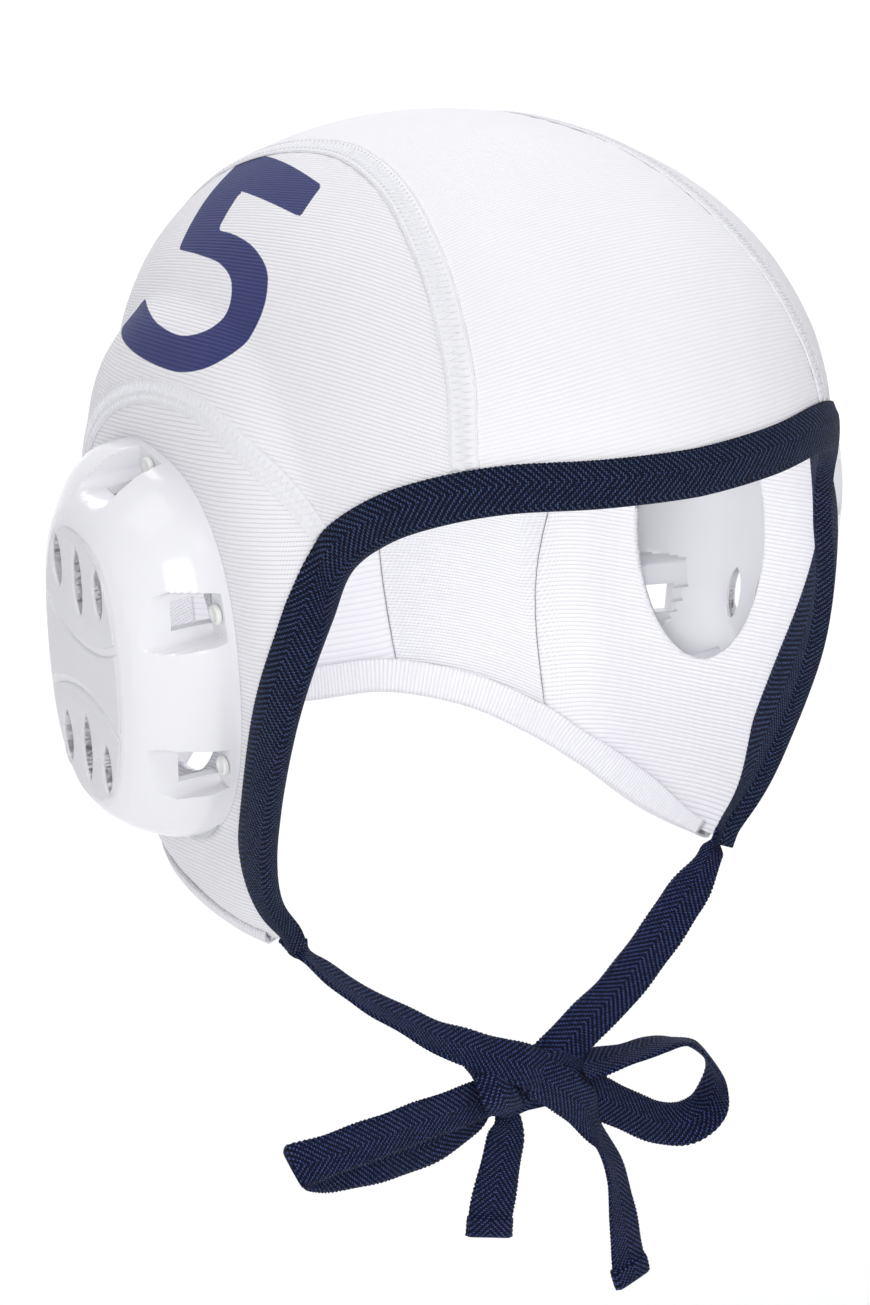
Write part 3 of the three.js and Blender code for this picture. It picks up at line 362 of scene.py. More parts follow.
ear_seam = head_line(
    np.vstack([face_half[FACE_MARK["ear"]], head_points(EAR_SEAM_LINE), neck_half[NECK_MARK["ear"]]]),
    SEAM_STEPS)
edge_inset = TAPE + LINING_GAP
face_cloth, neck_cloth = sideways(face_half, -edge_inset), sideways(neck_half, -edge_inset)
tip_shift = face_cloth[-1] + neck_cloth[0] - face_half[-1]
face_cloth[-1] = tip_shift
neck_cloth[0] = tip_shift


# Materials
class Shader:
    """Small helper that adds nodes to one material."""

    def __init__(self, name, **values):
        self.material = bpy.data.materials.new(name)
        self.material.use_nodes = True
        self.nodes = self.material.node_tree.nodes
        self.links = self.material.node_tree.links
        self.surface = self.nodes["Principled BSDF"]
        for key, value in values.items():
            self.surface.inputs[key.replace("_", " ")].default_value = value

    def node(self, kind, **settings):
        node = self.nodes.new("ShaderNode" + kind)
        for key, value in settings.items():
            setattr(node, key, value)
        return node

    def put(self, value, socket):
        if isinstance(value, bpy.types.NodeSocket):
            self.links.new(value, socket)
        else:
            socket.default_value = value

    def math(self, operation, first, second=0.0, third=0.0):
        node = self.node("Math", operation=operation)
        for value, socket in zip((first, second, third), node.inputs):
            self.put(value, socket)
        return node.outputs[0]

    def plus(self, first, second):
        return self.math("ADD", first, second)

    def times(self, first, second):
        return self.math("MULTIPLY", first, second)

    def scaled(self, value, factor, offset):
        return self.math("MULTIPLY_ADD", value, factor, offset)

    def smooth(self, value, low, high):
        node = self.node("MapRange", interpolation_type="SMOOTHSTEP")
        for item, socket in zip((value, low, high), node.inputs):
            self.put(item, socket)
        return node.outputs[0]

    def mix(self, share, first, second):
        node = self.node("Mix", data_type="RGBA")
        self.put(share, node.inputs[0])
        self.put(first, node.inputs[6])
        self.put(second, node.inputs[7])
        return node.outputs[2]

    def weave_place(self):
        node = self.node("UVMap", uv_map="weave")
        split = self.node("SeparateXYZ")
        self.links.new(node.outputs[0], split.inputs[0])
        return split.outputs[0], split.outputs[1]

    def noise(self, scale, detail=2.0):
        place = self.node("TexCoord")
        node = self.node("TexNoise")
        node.inputs["Scale"].default_value = scale
        node.inputs["Detail"].default_value = detail
        self.links.new(place.outputs["Object"], node.inputs["Vector"])
        return node.outputs[0]

    def colour_from(self, colour):
        self.links.new(colour, self.surface.inputs["Base Color"])

    def bump(self, height, distance, strength=1.0):
        node = self.node("Bump")
        node.inputs["Strength"].default_value = strength
        node.inputs["Distance"].default_value = distance
        self.links.new(height, node.inputs["Height"])
        self.links.new(node.outputs[0], self.surface.inputs["Normal"])

    def wave(self, value, pitch, shift=0.0):
        """0 to 1 cosine wave of a length in millimetres."""
        turn = self.scaled(value, 2 * math.pi / pitch, shift)
        return self.scaled(self.math("COSINE", turn), 0.5, 0.5)


# Pitches of the weaves, in millimetres
BEAD_PITCH = 0.5
WALE_PITCH, THREAD_PITCH = 1.5, 1.0


def cloth_material(name, relief, valley_shade_depth, printed=False):
    """Ribbed knit: the weave map's second value counts ribs and its first runs along them in millimetres."""
    shader = Shader(name, Roughness=0.85, Sheen_Weight=0.08, Sheen_Roughness=0.5, Specular_IOR_Level=0.2)
    along, ribs = shader.weave_place()
    wobble = shader.scaled(shader.noise(70, 2), 0.4, -0.2)
    rib_place = shader.plus(ribs, wobble)
    rib = shader.wave(rib_place, 1.0)
    row = shader.math("FLOOR", rib_place)
    bead = shader.wave(shader.plus(along, shader.times(rib_place, 0.35)), BEAD_PITCH,
                       shader.times(row, 2.1))
    fuzz = shader.noise(2600, 3)
    height = shader.plus(shader.times(rib, shader.scaled(bead, 0.35, 0.65)),
                         shader.times(fuzz, 0.45))
    shader.bump(height, relief)
    # Painted shade: the knit's colour is darker in its rib valleys, where shade falls; the patch noise gives
    # that valley colour a random tone.
    shade = shader.smooth(shader.scaled(bead, 0.3, rib), 0.02, 0.55)
    patch = shader.smooth(shader.noise(35, 3), 0.3, 0.75)
    valley_shade_level = 0.86 - valley_shade_depth
    valley_shade = shader.mix(patch, (valley_shade_level, valley_shade_level - 0.005, valley_shade_level + 0.04, 1),
                        (valley_shade_level + 0.05, valley_shade_level + 0.045, valley_shade_level + 0.08, 1))
    colour = shader.mix(shade, valley_shade, (0.87, 0.865, 0.895, 1))
    if printed:
        # The ink is also painted darker in the rib valleys, as painted shade.
        ink = shader.mix(shade, (0.024, 0.029, 0.11, 1), (0.039, 0.048, 0.17, 1))
        gap = shader.node("Attribute", attribute_name="print_gap").outputs["Fac"]
        edge = shader.scaled(fuzz, 0.3, shader.plus(gap, -0.15))
        colour = shader.mix(shader.smooth(edge, 0.12, -0.12), colour, ink)
    shader.colour_from(colour)
    return shader.material


def twill_material(name, yarn_gap_shade, mid, light, half_width, offset=0.0):
    """Herringbone tape: rows of raised threads that slant to both sides of the tape's middle."""
    shader = Shader(name, Roughness=0.75, Sheen_Weight=0.03, Sheen_Roughness=0.4, Specular_IOR_Level=0.14)
    across, along = shader.weave_place()
    fold = shader.math("PINGPONG", shader.plus(across, offset), half_width)
    wobble = shader.scaled(shader.noise(150, 2), 0.5, -0.25)
    diagonal = shader.plus(shader.scaled(fold, 1.0, along), wobble)
    wale = shader.wave(diagonal, WALE_PITCH)
    row = shader.math("FLOOR", shader.math("DIVIDE", diagonal, WALE_PITCH))
    thread = shader.wave(shader.scaled(fold, -1.0, along), THREAD_PITCH,
                         shader.times(row, 2.4))
    fuzz = shader.noise(2400, 3)
    yarn = shader.times(wale, shader.scaled(thread, 0.88, 0.12))
    shader.bump(shader.plus(yarn, shader.times(fuzz, 0.35)), 0.00045)
    # Painted shade: the gaps between the raised yarns take the darkest colour.
    raised = shader.smooth(yarn, 0.05, 0.5)
    # Painted highlight: bright blue glints on the tops of the yarns, in the lightest colour.
    painted_highlight = shader.times(shader.smooth(yarn, 0.35, 0.85), shader.smooth(fuzz, 0.36, 0.58))
    worn = shader.smooth(shader.noise(480, 4), 0.56, 0.8)
    colour = shader.mix(raised, yarn_gap_shade, mid)
    colour = shader.mix(painted_highlight, colour, light)
    colour = shader.mix(shader.times(worn, 0.3), colour, (0.03, 0.022, 0.04, 1))
    shader.colour_from(colour)
    return shader.material


def plastic_material(name, colour, roughness, coat=0.0, grain=0.0, shine=0.5):
    shader = Shader(name, Roughness=roughness, Coat_Weight=coat, Coat_Roughness=0.08,
                    Specular_IOR_Level=shine)
    fine = shader.noise(900, 2)
    broad = shader.noise(45, 3)
    shader.colour_from(shader.mix(shader.times(broad, 0.5), colour,
                                  tuple(value * 0.95 for value in colour[:3]) + (1,)))
    shader.put(shader.scaled(broad, 0.1, roughness - 0.05), shader.surface.inputs["Roughness"])
    shader.bump(shader.plus(shader.times(broad, 0.6), shader.times(fine, grain)), 0.0004, 0.25)
    return shader.material


# Copies of the knit: the crown's copy has fainter painted shade in its rib valleys and a lower bump than the
# side and ear panels, and the printed copy adds the number.
cloth = cloth_material("knit_white", 0.00013, 0.24)
cloth_crown_faint_shade = cloth_material("knit_white_crown", 0.00008, 0.14)
cloth_print = cloth_material("knit_white_printed", 0.00013, 0.24, printed=True)
# Twill colours: painted shade in the yarn gaps, the navy yarn, and a painted highlight on the yarns.
binding_twill = twill_material("binding_twill", (0.0018, 0.0028, 0.011, 1), (0.011, 0.019, 0.06, 1),
                               (0.085, 0.15, 0.36, 1), 5.0, 1.0)
tie_twill = twill_material("tie_twill", (0.002, 0.003, 0.013, 1), (0.01, 0.018, 0.072, 1),
                           (0.1, 0.15, 0.44, 1), TIE_WIDTH / 2)
thread_white = plastic_material("thread_white", (0.82, 0.82, 0.85, 1), 0.7, grain=1.5)
guard_white = plastic_material("guard_white", (0.83, 0.83, 0.86, 1), 0.17, coat=0.06, shine=0.3)
face_white = plastic_material("guard_face_white", (0.71, 0.71, 0.735, 1), 0.34, coat=0.1, grain=0.35,
                              shine=0.4)
pin_white = plastic_material("pin_white", (0.84, 0.85, 0.82, 1), 0.3, coat=0.2)
ring_clear = plastic_material("ring_clear", (0.75, 0.78, 0.80, 1), 0.25, coat=0.3)
ring_clear.node_tree.nodes["Principled BSDF"].inputs["Transmission Weight"].default_value = 0.45


# Meshes
def new_mesh(name, points, faces, *materials):
    mesh = bpy.data.meshes.new(name)
    corners = [[int(corner) for corner in face] for face in faces]
    mesh.from_pydata(np.asarray(points, float).tolist(), [], corners)
    for material in materials:
        mesh.materials.append(material)
    return mesh


def new_piece(name, mesh):
    piece = new_object(name, mesh)
    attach(piece, "root")
    return piece


def make_piece(name, points, faces, material, uv=None, gap=None, slot="cloth"):
    """A smooth piece from points in millimetres, with its weave map and its distance to the print."""
    mesh = new_mesh(name, np.asarray(points) * MM, faces, material)
    if uv is not None:
        layer = mesh.uv_layers.new(name="weave")
        corner = np.empty(len(mesh.loops), dtype=np.int32)
        mesh.loops.foreach_get("vertex_index", corner)
        layer.data.foreach_set("uv", np.asarray(uv, dtype=np.float32)[corner].ravel())
    if gap is not None:
        stored = mesh.attributes.new("print_gap", "FLOAT", "POINT")
        stored.data.foreach_set("value", np.asarray(gap, dtype=np.float32))
    mesh.polygons.foreach_set("use_smooth", [True] * len(mesh.polygons))
    mesh.update()
    return new_piece(name, mesh)


def merged(bodies):
    """One list of points and one of faces from several bodies."""
    points, faces, start = [], [], 0
    for body_points, body_faces in bodies:
        points.append(body_points)
        faces += [[int(corner) + start for corner in face] for face in body_faces]
        start += len(body_points)
    return np.vstack(points), faces


def grid_faces(rows, columns, around=False):
    i, j = np.meshgrid(np.arange(rows - 1), np.arange(columns if around else columns - 1), indexing="ij")
    nxt = (j + 1) % columns
    a, b = i * columns + j, i * columns + nxt
    c, d = (i + 1) * columns + nxt, (i + 1) * columns + j
    return np.stack([a, b, c, d], axis=-1).reshape(-1, 4)


def mesh_volume(points, faces):
    total = 0.0
    for k in range(1, faces.shape[1] - 1):
        a, b, c = points[faces[:, 0]], points[faces[:, k]], points[faces[:, k + 1]]
        total += np.einsum("ij,ij->i", a, np.cross(b, c)).sum()
    return total


def turned_out(points, faces):
    return faces if mesh_volume(points, faces) > 0 else faces[:, ::-1]


def flipped(piece, name):
    """The same piece of cloth on the other side of the head."""
    mesh = piece.data.copy()
    mesh.transform(Matrix.Scale(-1, 4, (1, 0, 0)))
    mesh.flip_normals()
    return new_piece(name, mesh)


# Cords come first
TAPE_ACROSS = 13
TAPE_SPACING = 0.33
EDGE_SCALLOP, EDGE_PITCH = 0.27, 1.1
SMALL_WAVES = [(0.28, 7.5), (0.16, 3.1)]
TIE_INTO_BINDING, LOOP_INTO_KNOT = 3.2, 4.0
TIE_START_SHARE = 0.5


def tape_section(half_width, half_thick, cup):
    """Points round a tape, from one edge over its face to the other and back, with the distance across it."""
    s = np.linspace(-1, 1, TAPE_ACROSS)
    blunt = np.sqrt(np.clip(1 - np.abs(s) ** 10, 0, 1))
    lift = cup * (s ** 2 - 0.4)
    front = np.stack([s * half_width, half_thick * blunt + lift], axis=1)
    back = np.stack([s[::-1] * half_width, -half_thick * blunt + lift], axis=1)[1:-1]
    across = np.concatenate([s, s[::-1][1:-1]]) * half_width
    return np.vstack([front, back]), across


def ribbon_points(route, seed, hem=None, ends=(0.0, 0.0), curl=0.25, tight=None, squeeze_start=1.0,
                  bend=0.0, width=TIE_WIDTH):
    """Sections of a tape along a route, with small waves in it and a woven edge.

    hem is the length and the thickness of a folded end, ends is how far the tape runs on past its route,
    tight is a place where it is pulled in, squeeze_start its share of width at the start, and curl and bend
    cup it.
    """
    local = np.random.default_rng(seed)
    places = np.linspace(0, 1, 3000)
    middle = catmull([row[0] for row in route], places)
    facing = catmull([row[1] for row in route], places)
    first, last = unit(middle[1] - middle[0]), unit(middle[-1] - middle[-2])
    middle = np.vstack([middle[:1] - first * ends[0], middle[1:-1], middle[-1:] + last * ends[1]])
    run = run_along(middle)
    count = int(run[-1] / TAPE_SPACING)
    along = np.linspace(0, run[-1], count)
    line, face = at_run(along, run, middle), at_run(along, run, facing)
    tangent = unit(tangents(line))
    face = unit(face - (face * tangent).sum(1, keepdims=True) * tangent)
    side = np.cross(tangent, face)
    phases = local.uniform(0, 6.28, 4)
    fade = smoothstep(along, 0, 6) * smoothstep(run[-1] - along, 0, 4)
    wave = fade * sum(size * np.sin(along / length + phase)
                      for (size, length), phase in zip(SMALL_WAVES, phases))
    twist = fade * 0.05 * np.sin(along / 9 + phases[2])
    cup = curl * np.sin(along / 16 + phases[3]) + bend
    scallop = EDGE_SCALLOP * np.abs(np.sin(along * math.pi / EDGE_PITCH))
    scallop = scallop * (1 + 0.5 * np.sin(along / 2.3 + phases[1]))
    half = np.full(count, TIE_THICK / 2)
    if hem:
        past = along - (run[-1] - hem[0])
        rounded = 1 - 0.55 * smoothstep(past, hem[0] - 0.9, hem[0])
        half = half + (hem[1] - TIE_THICK) / 2 * smoothstep(past, -0.3, 0.35) * rounded
        scallop = scallop + 0.35 * smoothstep(past, -0.2, 0.4)
    squeeze = squeeze_start + (1 - squeeze_start) * smoothstep(along, 2, 20)
    if tight is not None:
        squeeze = 1 - 0.5 * np.exp(-(np.linalg.norm(line - tight, axis=1) / 5.0) ** 2)
    points, across = [], None
    for k in range(count):
        section, across = tape_section((width / 2 - 0.25 + scallop[k]) * squeeze[k], half[k], cup[k])
        x, y = section[:, 0], section[:, 1] + wave[k]
        lateral = side[k] + face[k] * twist[k]
        points.append(line[k] + x[:, None] * lateral + y[:, None] * face[k])
    uv = np.stack([np.tile(across + TIE_WIDTH / 2, count), np.repeat(along, len(across))], axis=1)
    return np.array(points), uv, line, run[-1]


def tube_mesh(sections):
    rows, columns = sections.shape[:2]
    points = sections.reshape(-1, 3)
    faces = grid_faces(rows, columns, around=True)
    faces = turned_out(points, faces)
    caps = [list(range(columns)), list(range((rows - 1) * columns, rows * columns))]
    start_out = faces[0, 0] == 0 and faces[0, 1] == 1
    caps = [caps[0][::-1] if start_out else caps[0], caps[1] if start_out else caps[1][::-1]]
    return points, faces.tolist() + caps


def ribbon(name, route, nodes, far_end, seed, pieces=(), **options):
    sections, uv, line, length = ribbon_points(route, seed, **options)
    points, faces = tube_mesh(sections)
    piece = make_piece(name, points, faces, tie_twill, uv=uv, slot="navy_tape")
    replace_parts(piece, *nodes)
    return piece


def blunt(values, half):
    return np.sign(values) * np.abs(values) ** KNOT_BLUNT * half


def knot_core():
    rings, sides = 60, 90
    up = np.linspace(0, math.pi, rings)[:, None]
    turn = np.linspace(0, 2 * math.pi, sides, endpoint=False)[None, :]
    x = np.cos(up) * np.ones_like(turn)
    y, z = np.sin(up) * np.cos(turn), np.sin(up) * np.sin(turn)
    waist = 1 - 0.14 * np.exp(-((x + 0.1) / 0.25) ** 2)
    crease = 1 - 0.05 * np.cos(9 * turn + 4 * x)
    shape = np.stack([blunt(x, KNOT_HALF[0] - 0.4), blunt(y, 1) * waist * crease * (KNOT_HALF[1] - 1.2),
                      blunt(z, 1) * waist * crease * (KNOT_HALF[2] - 1.0)], axis=-1)
    points = (shape + KNOT_MIDDLE).reshape(-1, 3)
    faces = turned_out(points, grid_faces(rings, sides, around=True))
    uv = np.stack([x.ravel() * 14, (turn * np.ones_like(up)).ravel() * 7], axis=1)
    return points, faces, uv


KNOT_TONGUE = [
    ((-14.2, -24.5, -220), (-0.2, -0.3, 1)), ((-15, -30.2, -221.8), (-0.2, -0.8, 0.6)),
    ((-14.4, -32.4, -226), (-0.05, -1, 0.1)), ((-11.6, -31.2, -230.6), (0, -0.9, -0.4)),
    ((-9.6, -28, -233.2), (0, -0.4, -0.9)), ((-9, -23, -233.2), (0, 0.2, -1))]
KNOT_BACK = [
    ((-12.6, -21.4, -222.4), (0, 1, 0.2)), ((-4, -17.6, -226.4), (0, 1, 0.1)),
    ((4, -17.4, -231), (0, 1, -0.1)), ((12.6, -20.6, -234.8), (0, 1, -0.3))]


def make_knot():
    bodies = [knot_core()]
    for number, route in enumerate((KNOT_TONGUE, KNOT_BACK)):
        sections, uv, _, _ = ribbon_points(route, 20 + number, curl=0.2, bend=-1.3, width=0.88 * TIE_WIDTH)
        bodies.append((*tube_mesh(sections), uv))
    points, faces = merged([body[:2] for body in bodies])
    piece = make_piece("knot_wrap", points, faces, tie_twill, uv=np.vstack([body[2] for body in bodies]),
                       slot="navy_tape")
    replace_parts(piece, "bow_knot")
    return piece


knot = make_knot()
tie_left_route = [((-place[0], *place[1:]), (-face[0], *face[1:])) for place, face in TIE_ROUTE + TIE_UNDER]
right_tail_turned = [(place, tuple(-value for value in face)) for place, face in RIGHT_TAIL]
tie_start = {"ends": (TIE_INTO_BINDING, 0), "squeeze_start": TIE_START_SHARE}
ribbon("tie_right", TIE_ROUTE + TIE_OVER, ["chin_tie_right"], "knot", 2, [knot], **tie_start)
ribbon("tie_left", tie_left_route, ["chin_tie_left"], "knot", 3, **tie_start)
ribbon("bow_right", RIGHT_LOOP + RIGHT_LINK + right_tail_turned, ["bow_loop_right", "bow_tail_right"], "bare",
       4, ends=(LOOP_INTO_KNOT, 0), curl=0.15, hem=FOLDED_END, tight=np.array(RIGHT_LINK[-1][0]))
ribbon("loop_left", LEFT_LOOP, ["bow_loop_left"], "knot", 5, ends=(LOOP_INTO_KNOT, LOOP_INTO_KNOT), curl=0.15)
ribbon("tail_left", LEFT_TAIL, ["bow_tail_left"], "bare", 8, hem=FOLDED_END)


# Cloth panels
def length_shares(first, second):
    runs = [run_along(line) for line in (first, second)]
    return sum(run / run[-1] for run in runs) / 2


def coons(top, bottom, front, back):
    """Points of a wall over four border lines, each pair running the same way."""
    top, bottom = top.copy(), bottom.copy()
    top[0], bottom[0], top[-1], bottom[-1] = front[0], front[-1], back[0], back[-1]
    u = length_shares(top, bottom)[:, None, None]
    v = length_shares(front, back)[None, :, None]
    wall = top[:, None] * (1 - v) + bottom[:, None] * v + front[None] * (1 - u) + back[None] * u
    corners = front[0] * (1 - u) * (1 - v) + front[-1] * (1 - u) * v + back[0] * u * (1 - v) + back[-1] * u * v
    return drape(wall - corners)


# The knit's ribs: how many pass per millimetre ahead, per millimetre round the head, and how they fan out
RIB_CENTRE = np.array((0.0, 0.0, -74.0))
SIDE_ROUND, CROWN_ROUND = 76.0, 80.0
SIDE_RIBS = (0.416, 1.104, -0.0037)
EAR_RIBS = (0.14, 0.96, 0.0)
CROWN_RIBS = (0.07, 1.02)


# Soft waves of the cloth and the gathers along its seams, and how many cells each panel has
CLOTH_WAVE, WAVELENGTHS = 0.12, (31.0, 17.0, 9.0)
GATHER_SIZE, GATHER_PITCH, GATHER_REACH = 0.1, 7.0, 5.0
CROWN_GATHERS, EAR_GATHERS = 0.4, 1.9
SIDE_CELLS, CROWN_CELLS, EAR_CELLS = (190, 70), (200, 30), 100


def side_weave(points, ribs):
    """Weave map of a side or ear panel: distance ahead in millimetres, and the count of ribs."""
    local = points - RIB_CENTRE
    ahead = -local[..., 1]
    aside = np.maximum(np.abs(local[..., 0]), 72 * smoothstep(local[..., 1], 35, 75))
    turn = np.arctan2(aside, np.maximum(local[..., 2], 0)) * SIDE_ROUND
    turn = turn - np.minimum(local[..., 2], 0)
    return np.stack([ahead, ribs[0] * ahead + ribs[1] * turn + ribs[2] * ahead * turn], axis=-1)


def crown_weave(points):
    local = points - RIB_CENTRE
    turn = np.arctan2(-local[..., 1], local[..., 2]) * CROWN_ROUND
    return np.stack([local[..., 0], CROWN_RIBS[0] * local[..., 0] + CROWN_RIBS[1] * turn], axis=-1)


def waves(points, size, seed):
    local = np.random.default_rng(seed)
    total = np.zeros(points.shape[:-1])
    for wavelength in WAVELENGTHS:
        for _ in range(2):
            turn = points @ unit(local.normal(size=3)) * 2 * math.pi / wavelength
            total += np.sin(turn + local.uniform(0, 6.28)) * wavelength / WAVELENGTHS[0]
    return total * size / len(WAVELENGTHS)


def pucker(points, lines):
    """Small gathers that run off the stitched lines into the cloth."""
    flat = points.reshape(-1, 3)
    total = np.zeros(len(flat))
    for line, phase in lines:
        run = run_along(line)
        nearest = np.empty(len(flat), dtype=int)
        distance = np.empty(len(flat))
        for start in range(0, len(flat), 4000):
            block = flat[start:start + 4000]
            gaps = np.linalg.norm(block[:, None] - line[None, ::2], axis=2)
            nearest[start:start + 4000] = gaps.argmin(1) * 2
            distance[start:start + 4000] = gaps.min(1)
        place = run[nearest]
        gather = np.sin(place * 2 * math.pi / GATHER_PITCH + phase + 1.7 * np.sin(place / 11.0))
        total += gather * np.exp(-(distance / GATHER_REACH) ** 2) * GATHER_SIZE
    return total.reshape(points.shape[:-1])


def panel(name, grid, uv, material, node, extra, gap=None, hole=False):
    """A closed cloth sheet over a grid of points on the head's wall."""
    rows, columns = grid.shape[:2]
    normal = outward(grid)
    outer = grid + normal * (CLOTH + extra)[..., None]
    inner = grid + normal * (extra[..., None] * 0.8)
    points = np.vstack([outer.reshape(-1, 3), inner.reshape(-1, 3)])
    faces = grid_faces(rows, columns)
    count = rows * columns
    if hole:
        points, faces = ear_hole(points, faces, count)
    edges = dict.fromkeys((a, b) for face in faces for a, b in zip(face, np.roll(face, -1)))
    rim = np.array([(b, a, a + count, b + count) for a, b in edges if (b, a) not in edges])
    faces = turned_out(points, np.vstack([faces, faces[:, ::-1] + count, rim]))
    used = np.unique(faces)
    renumber = np.full(len(points), -1)
    renumber[used] = np.arange(len(used))
    both = np.vstack([uv.reshape(-1, 2)] * 2)[used]
    if gap is not None:
        gap = np.concatenate([gap.ravel(), np.full(count, OFF_PRINT)])[used]
    piece = make_piece(name, points[used], renumber[faces], material, uv=both, gap=gap)
    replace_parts(piece, node)
    return piece


def ear_hole(points, faces, count):
    """Leaves out the faces over the ear and draws the hole's edge to its oval."""
    base, axes = EARS[-1]
    local = (points - base) @ axes.T
    reach = np.hypot(local[:, 0] / EAR_HOLE[0], local[:, 1] / EAR_HOLE[1])
    inside = (reach < 1) & (local[:, 2] > -20)
    kept = faces[~inside[faces].all(axis=1)]
    edge = np.zeros(len(points), dtype=bool)
    edge[kept.ravel()] = True
    edge[:count] &= inside[:count]
    edge[count:] = edge[:count]
    moved = local.copy()
    moved[edge, :2] = local[edge, :2] / reach[edge][:, None]
    return moved @ axes + base, kept


# The number's outline on a side panel: millimetres ahead, and round the head from the top
NUMBER_ROUND = 72.0
NUMBER_MIDDLE = -21.5
NUMBER_BAR = [
    (-24.2, 69.0), (-36, 69.5), (-46, 50.5), (-55, 34.5), (-3, 42.0), (1.6, 52.0), (-29.3, 50.5),
    (-23.5, 62.0)]
NUMBER_OUTER = [
    (-23.5, 62.0), (-14, 61.8), (-3, 63.2), (7, 67.5), (11.8, 75), (11, 83.5), (6.8, 89.5), (-1, 92.8),
    (-16, 94), (-32, 93.4), (-46.5, 91.5)]
NUMBER_INNER = [
    (-42.5, 83.5), (-32, 85.2), (-20, 86.8), (-8, 86.4), (-1.6, 82.8), (-0.2, 77), (-4, 72), (-12.2, 69.2),
    (-24.2, 69.0)]
OFF_PRINT = 9.0


def print_gap(points, side):
    """Signed distance in millimetres to the plain number on a side panel, below 0 on its strokes."""
    turn = np.arctan2(np.abs(points[..., 0]), points[..., 2] - CENTRE[2])
    ahead = -points[..., 1]
    ahead = ahead if side < 0 else 2 * NUMBER_MIDDLE - ahead
    spot = np.stack([ahead, turn * NUMBER_ROUND], axis=-1)
    outer, inner = (catmull([(x, y, 0) for x, y in line], np.linspace(0, 1, 60))[:, :2]
                    for line in (NUMBER_OUTER, NUMBER_INNER))
    outline = np.vstack([np.array(NUMBER_BAR), outer[1:], inner[:-1]])
    best = np.full(spot.shape[:-1], 1e9)
    inside = np.zeros(spot.shape[:-1], dtype=bool)
    for a, b in zip(outline, np.roll(outline, -1, axis=0)):
        way = b - a
        share = np.clip(((spot - a) @ way) / (way @ way), 0, 1)
        best = np.minimum(best, np.linalg.norm(spot - a - share[..., None] * way, axis=-1))
        crossed = (a[1] > spot[..., 1]) != (b[1] > spot[..., 1])
        level = a[0] + (spot[..., 1] - a[1]) / (way[1] if way[1] else 1e-9) * way[0]
        inside ^= crossed & (spot[..., 0] < level)
    return np.where(inside, -best, best)


HALF_JOINT = 0.15


def thin(line, count):
    """The same line with fewer, evenly spaced points."""
    index = np.linspace(0, len(line) - 1, count + 1).round().astype(int)
    return line[index]


def declare_cut(piece, grid):
    """Works out a mean length of the panel from every eighth line of its grid, and keeps nothing of it."""
    second = np.mean([run_along(line)[-1] for line in grid.transpose(1, 0, 2)[::8]])


def add_left(right, grid, name, node):
    """The left panel from the right one."""
    left = flipped(right, name)
    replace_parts(left, node)
    for piece in (right, left):
        declare_cut(piece, grid)
    return left


def cloth_relief(grid, seed, *seams):
    """Soft waves in the cloth and gathers along its seams, each given with the phase of its gathers."""
    return waves(grid, CLOTH_WAVE, seed) + pucker(grid, seams)


def side_panels():
    long_way, short_way = SIDE_CELLS
    top = thin(sideways(crown_seam, HALF_JOINT), long_way)
    bottom = thin(sideways(ear_seam, -HALF_JOINT), long_way)
    front = thin(face_cloth[FACE_MARK["crown"]:FACE_MARK["ear"] + 1], short_way)
    back = thin(neck_cloth[NECK_MARK["ear"]:NECK_MARK["crown"] + 1][::-1], short_way)
    grid = coons(top, bottom, front, back)
    extra = cloth_relief(grid, 3, (crown_seam, CROWN_GATHERS), (ear_seam, EAR_GATHERS))
    right = panel("cloth_side_right", grid, side_weave(grid, SIDE_RIBS), cloth_print, "side_panel_right",
                  extra, print_gap(grid, -1))
    left = add_left(right, grid, "cloth_side_left", "side_panel_left")
    values = np.full(len(left.data.vertices), OFF_PRINT, dtype=np.float32)
    values[:grid.shape[0] * grid.shape[1]] = print_gap(grid * (-1, 1, 1), 1).ravel()
    left.data.attributes["print_gap"].data.foreach_set("value", values)


def crown_panel():
    long_way, half_way = CROWN_CELLS
    right = thin(sideways(crown_seam, -HALF_JOINT), long_way)
    front_half = thin(face_cloth[:FACE_MARK["crown"] + 1], half_way)
    nape_half = thin(neck_cloth[NECK_MARK["crown"]:], half_way)
    front = np.vstack([front_half[::-1], front_half[1:] * (-1, 1, 1)])
    nape = np.vstack([nape_half, nape_half[:-1][::-1] * (-1, 1, 1)])
    grid = coons(right, right * (-1, 1, 1), front, nape)
    extra = cloth_relief(grid, 5, (crown_seam, CROWN_GATHERS), (crown_seam * (-1, 1, 1), CROWN_GATHERS))
    declare_cut(panel("cloth_crown", grid, crown_weave(grid), cloth_crown_faint_shade, "crown_panel", extra), grid)


def ear_panels():
    seam = sideways(ear_seam, HALF_JOINT)
    borders = (seam[:EAR_STEPS + 1], neck_cloth[:NECK_MARK["ear"] + 1], face_cloth[FACE_MARK["ear"]:],
               seam[EAR_STEPS:])
    grid = coons(*(thin(border, EAR_CELLS) for border in borders))
    base, axes = EARS[-1]
    local = (grid - base) @ axes.T
    clear = smoothstep(guard_reach(local[..., 0], local[..., 1], RING_PEEK), 1.0, 1.35)
    extra = cloth_relief(grid, 9, (ear_seam, EAR_GATHERS)) * clear
    right = panel("cloth_ear_right", grid, side_weave(grid, EAR_RIBS), cloth, "ear_panel_right", extra,
                  hole=True)
    add_left(right, grid, "cloth_ear_left", "ear_panel_left")


for maker in (side_panels, crown_panel, ear_panels):
    maker()


# Bindings and hems
SCALLOP_PITCH, END_TAPER = 1.05, 30.0


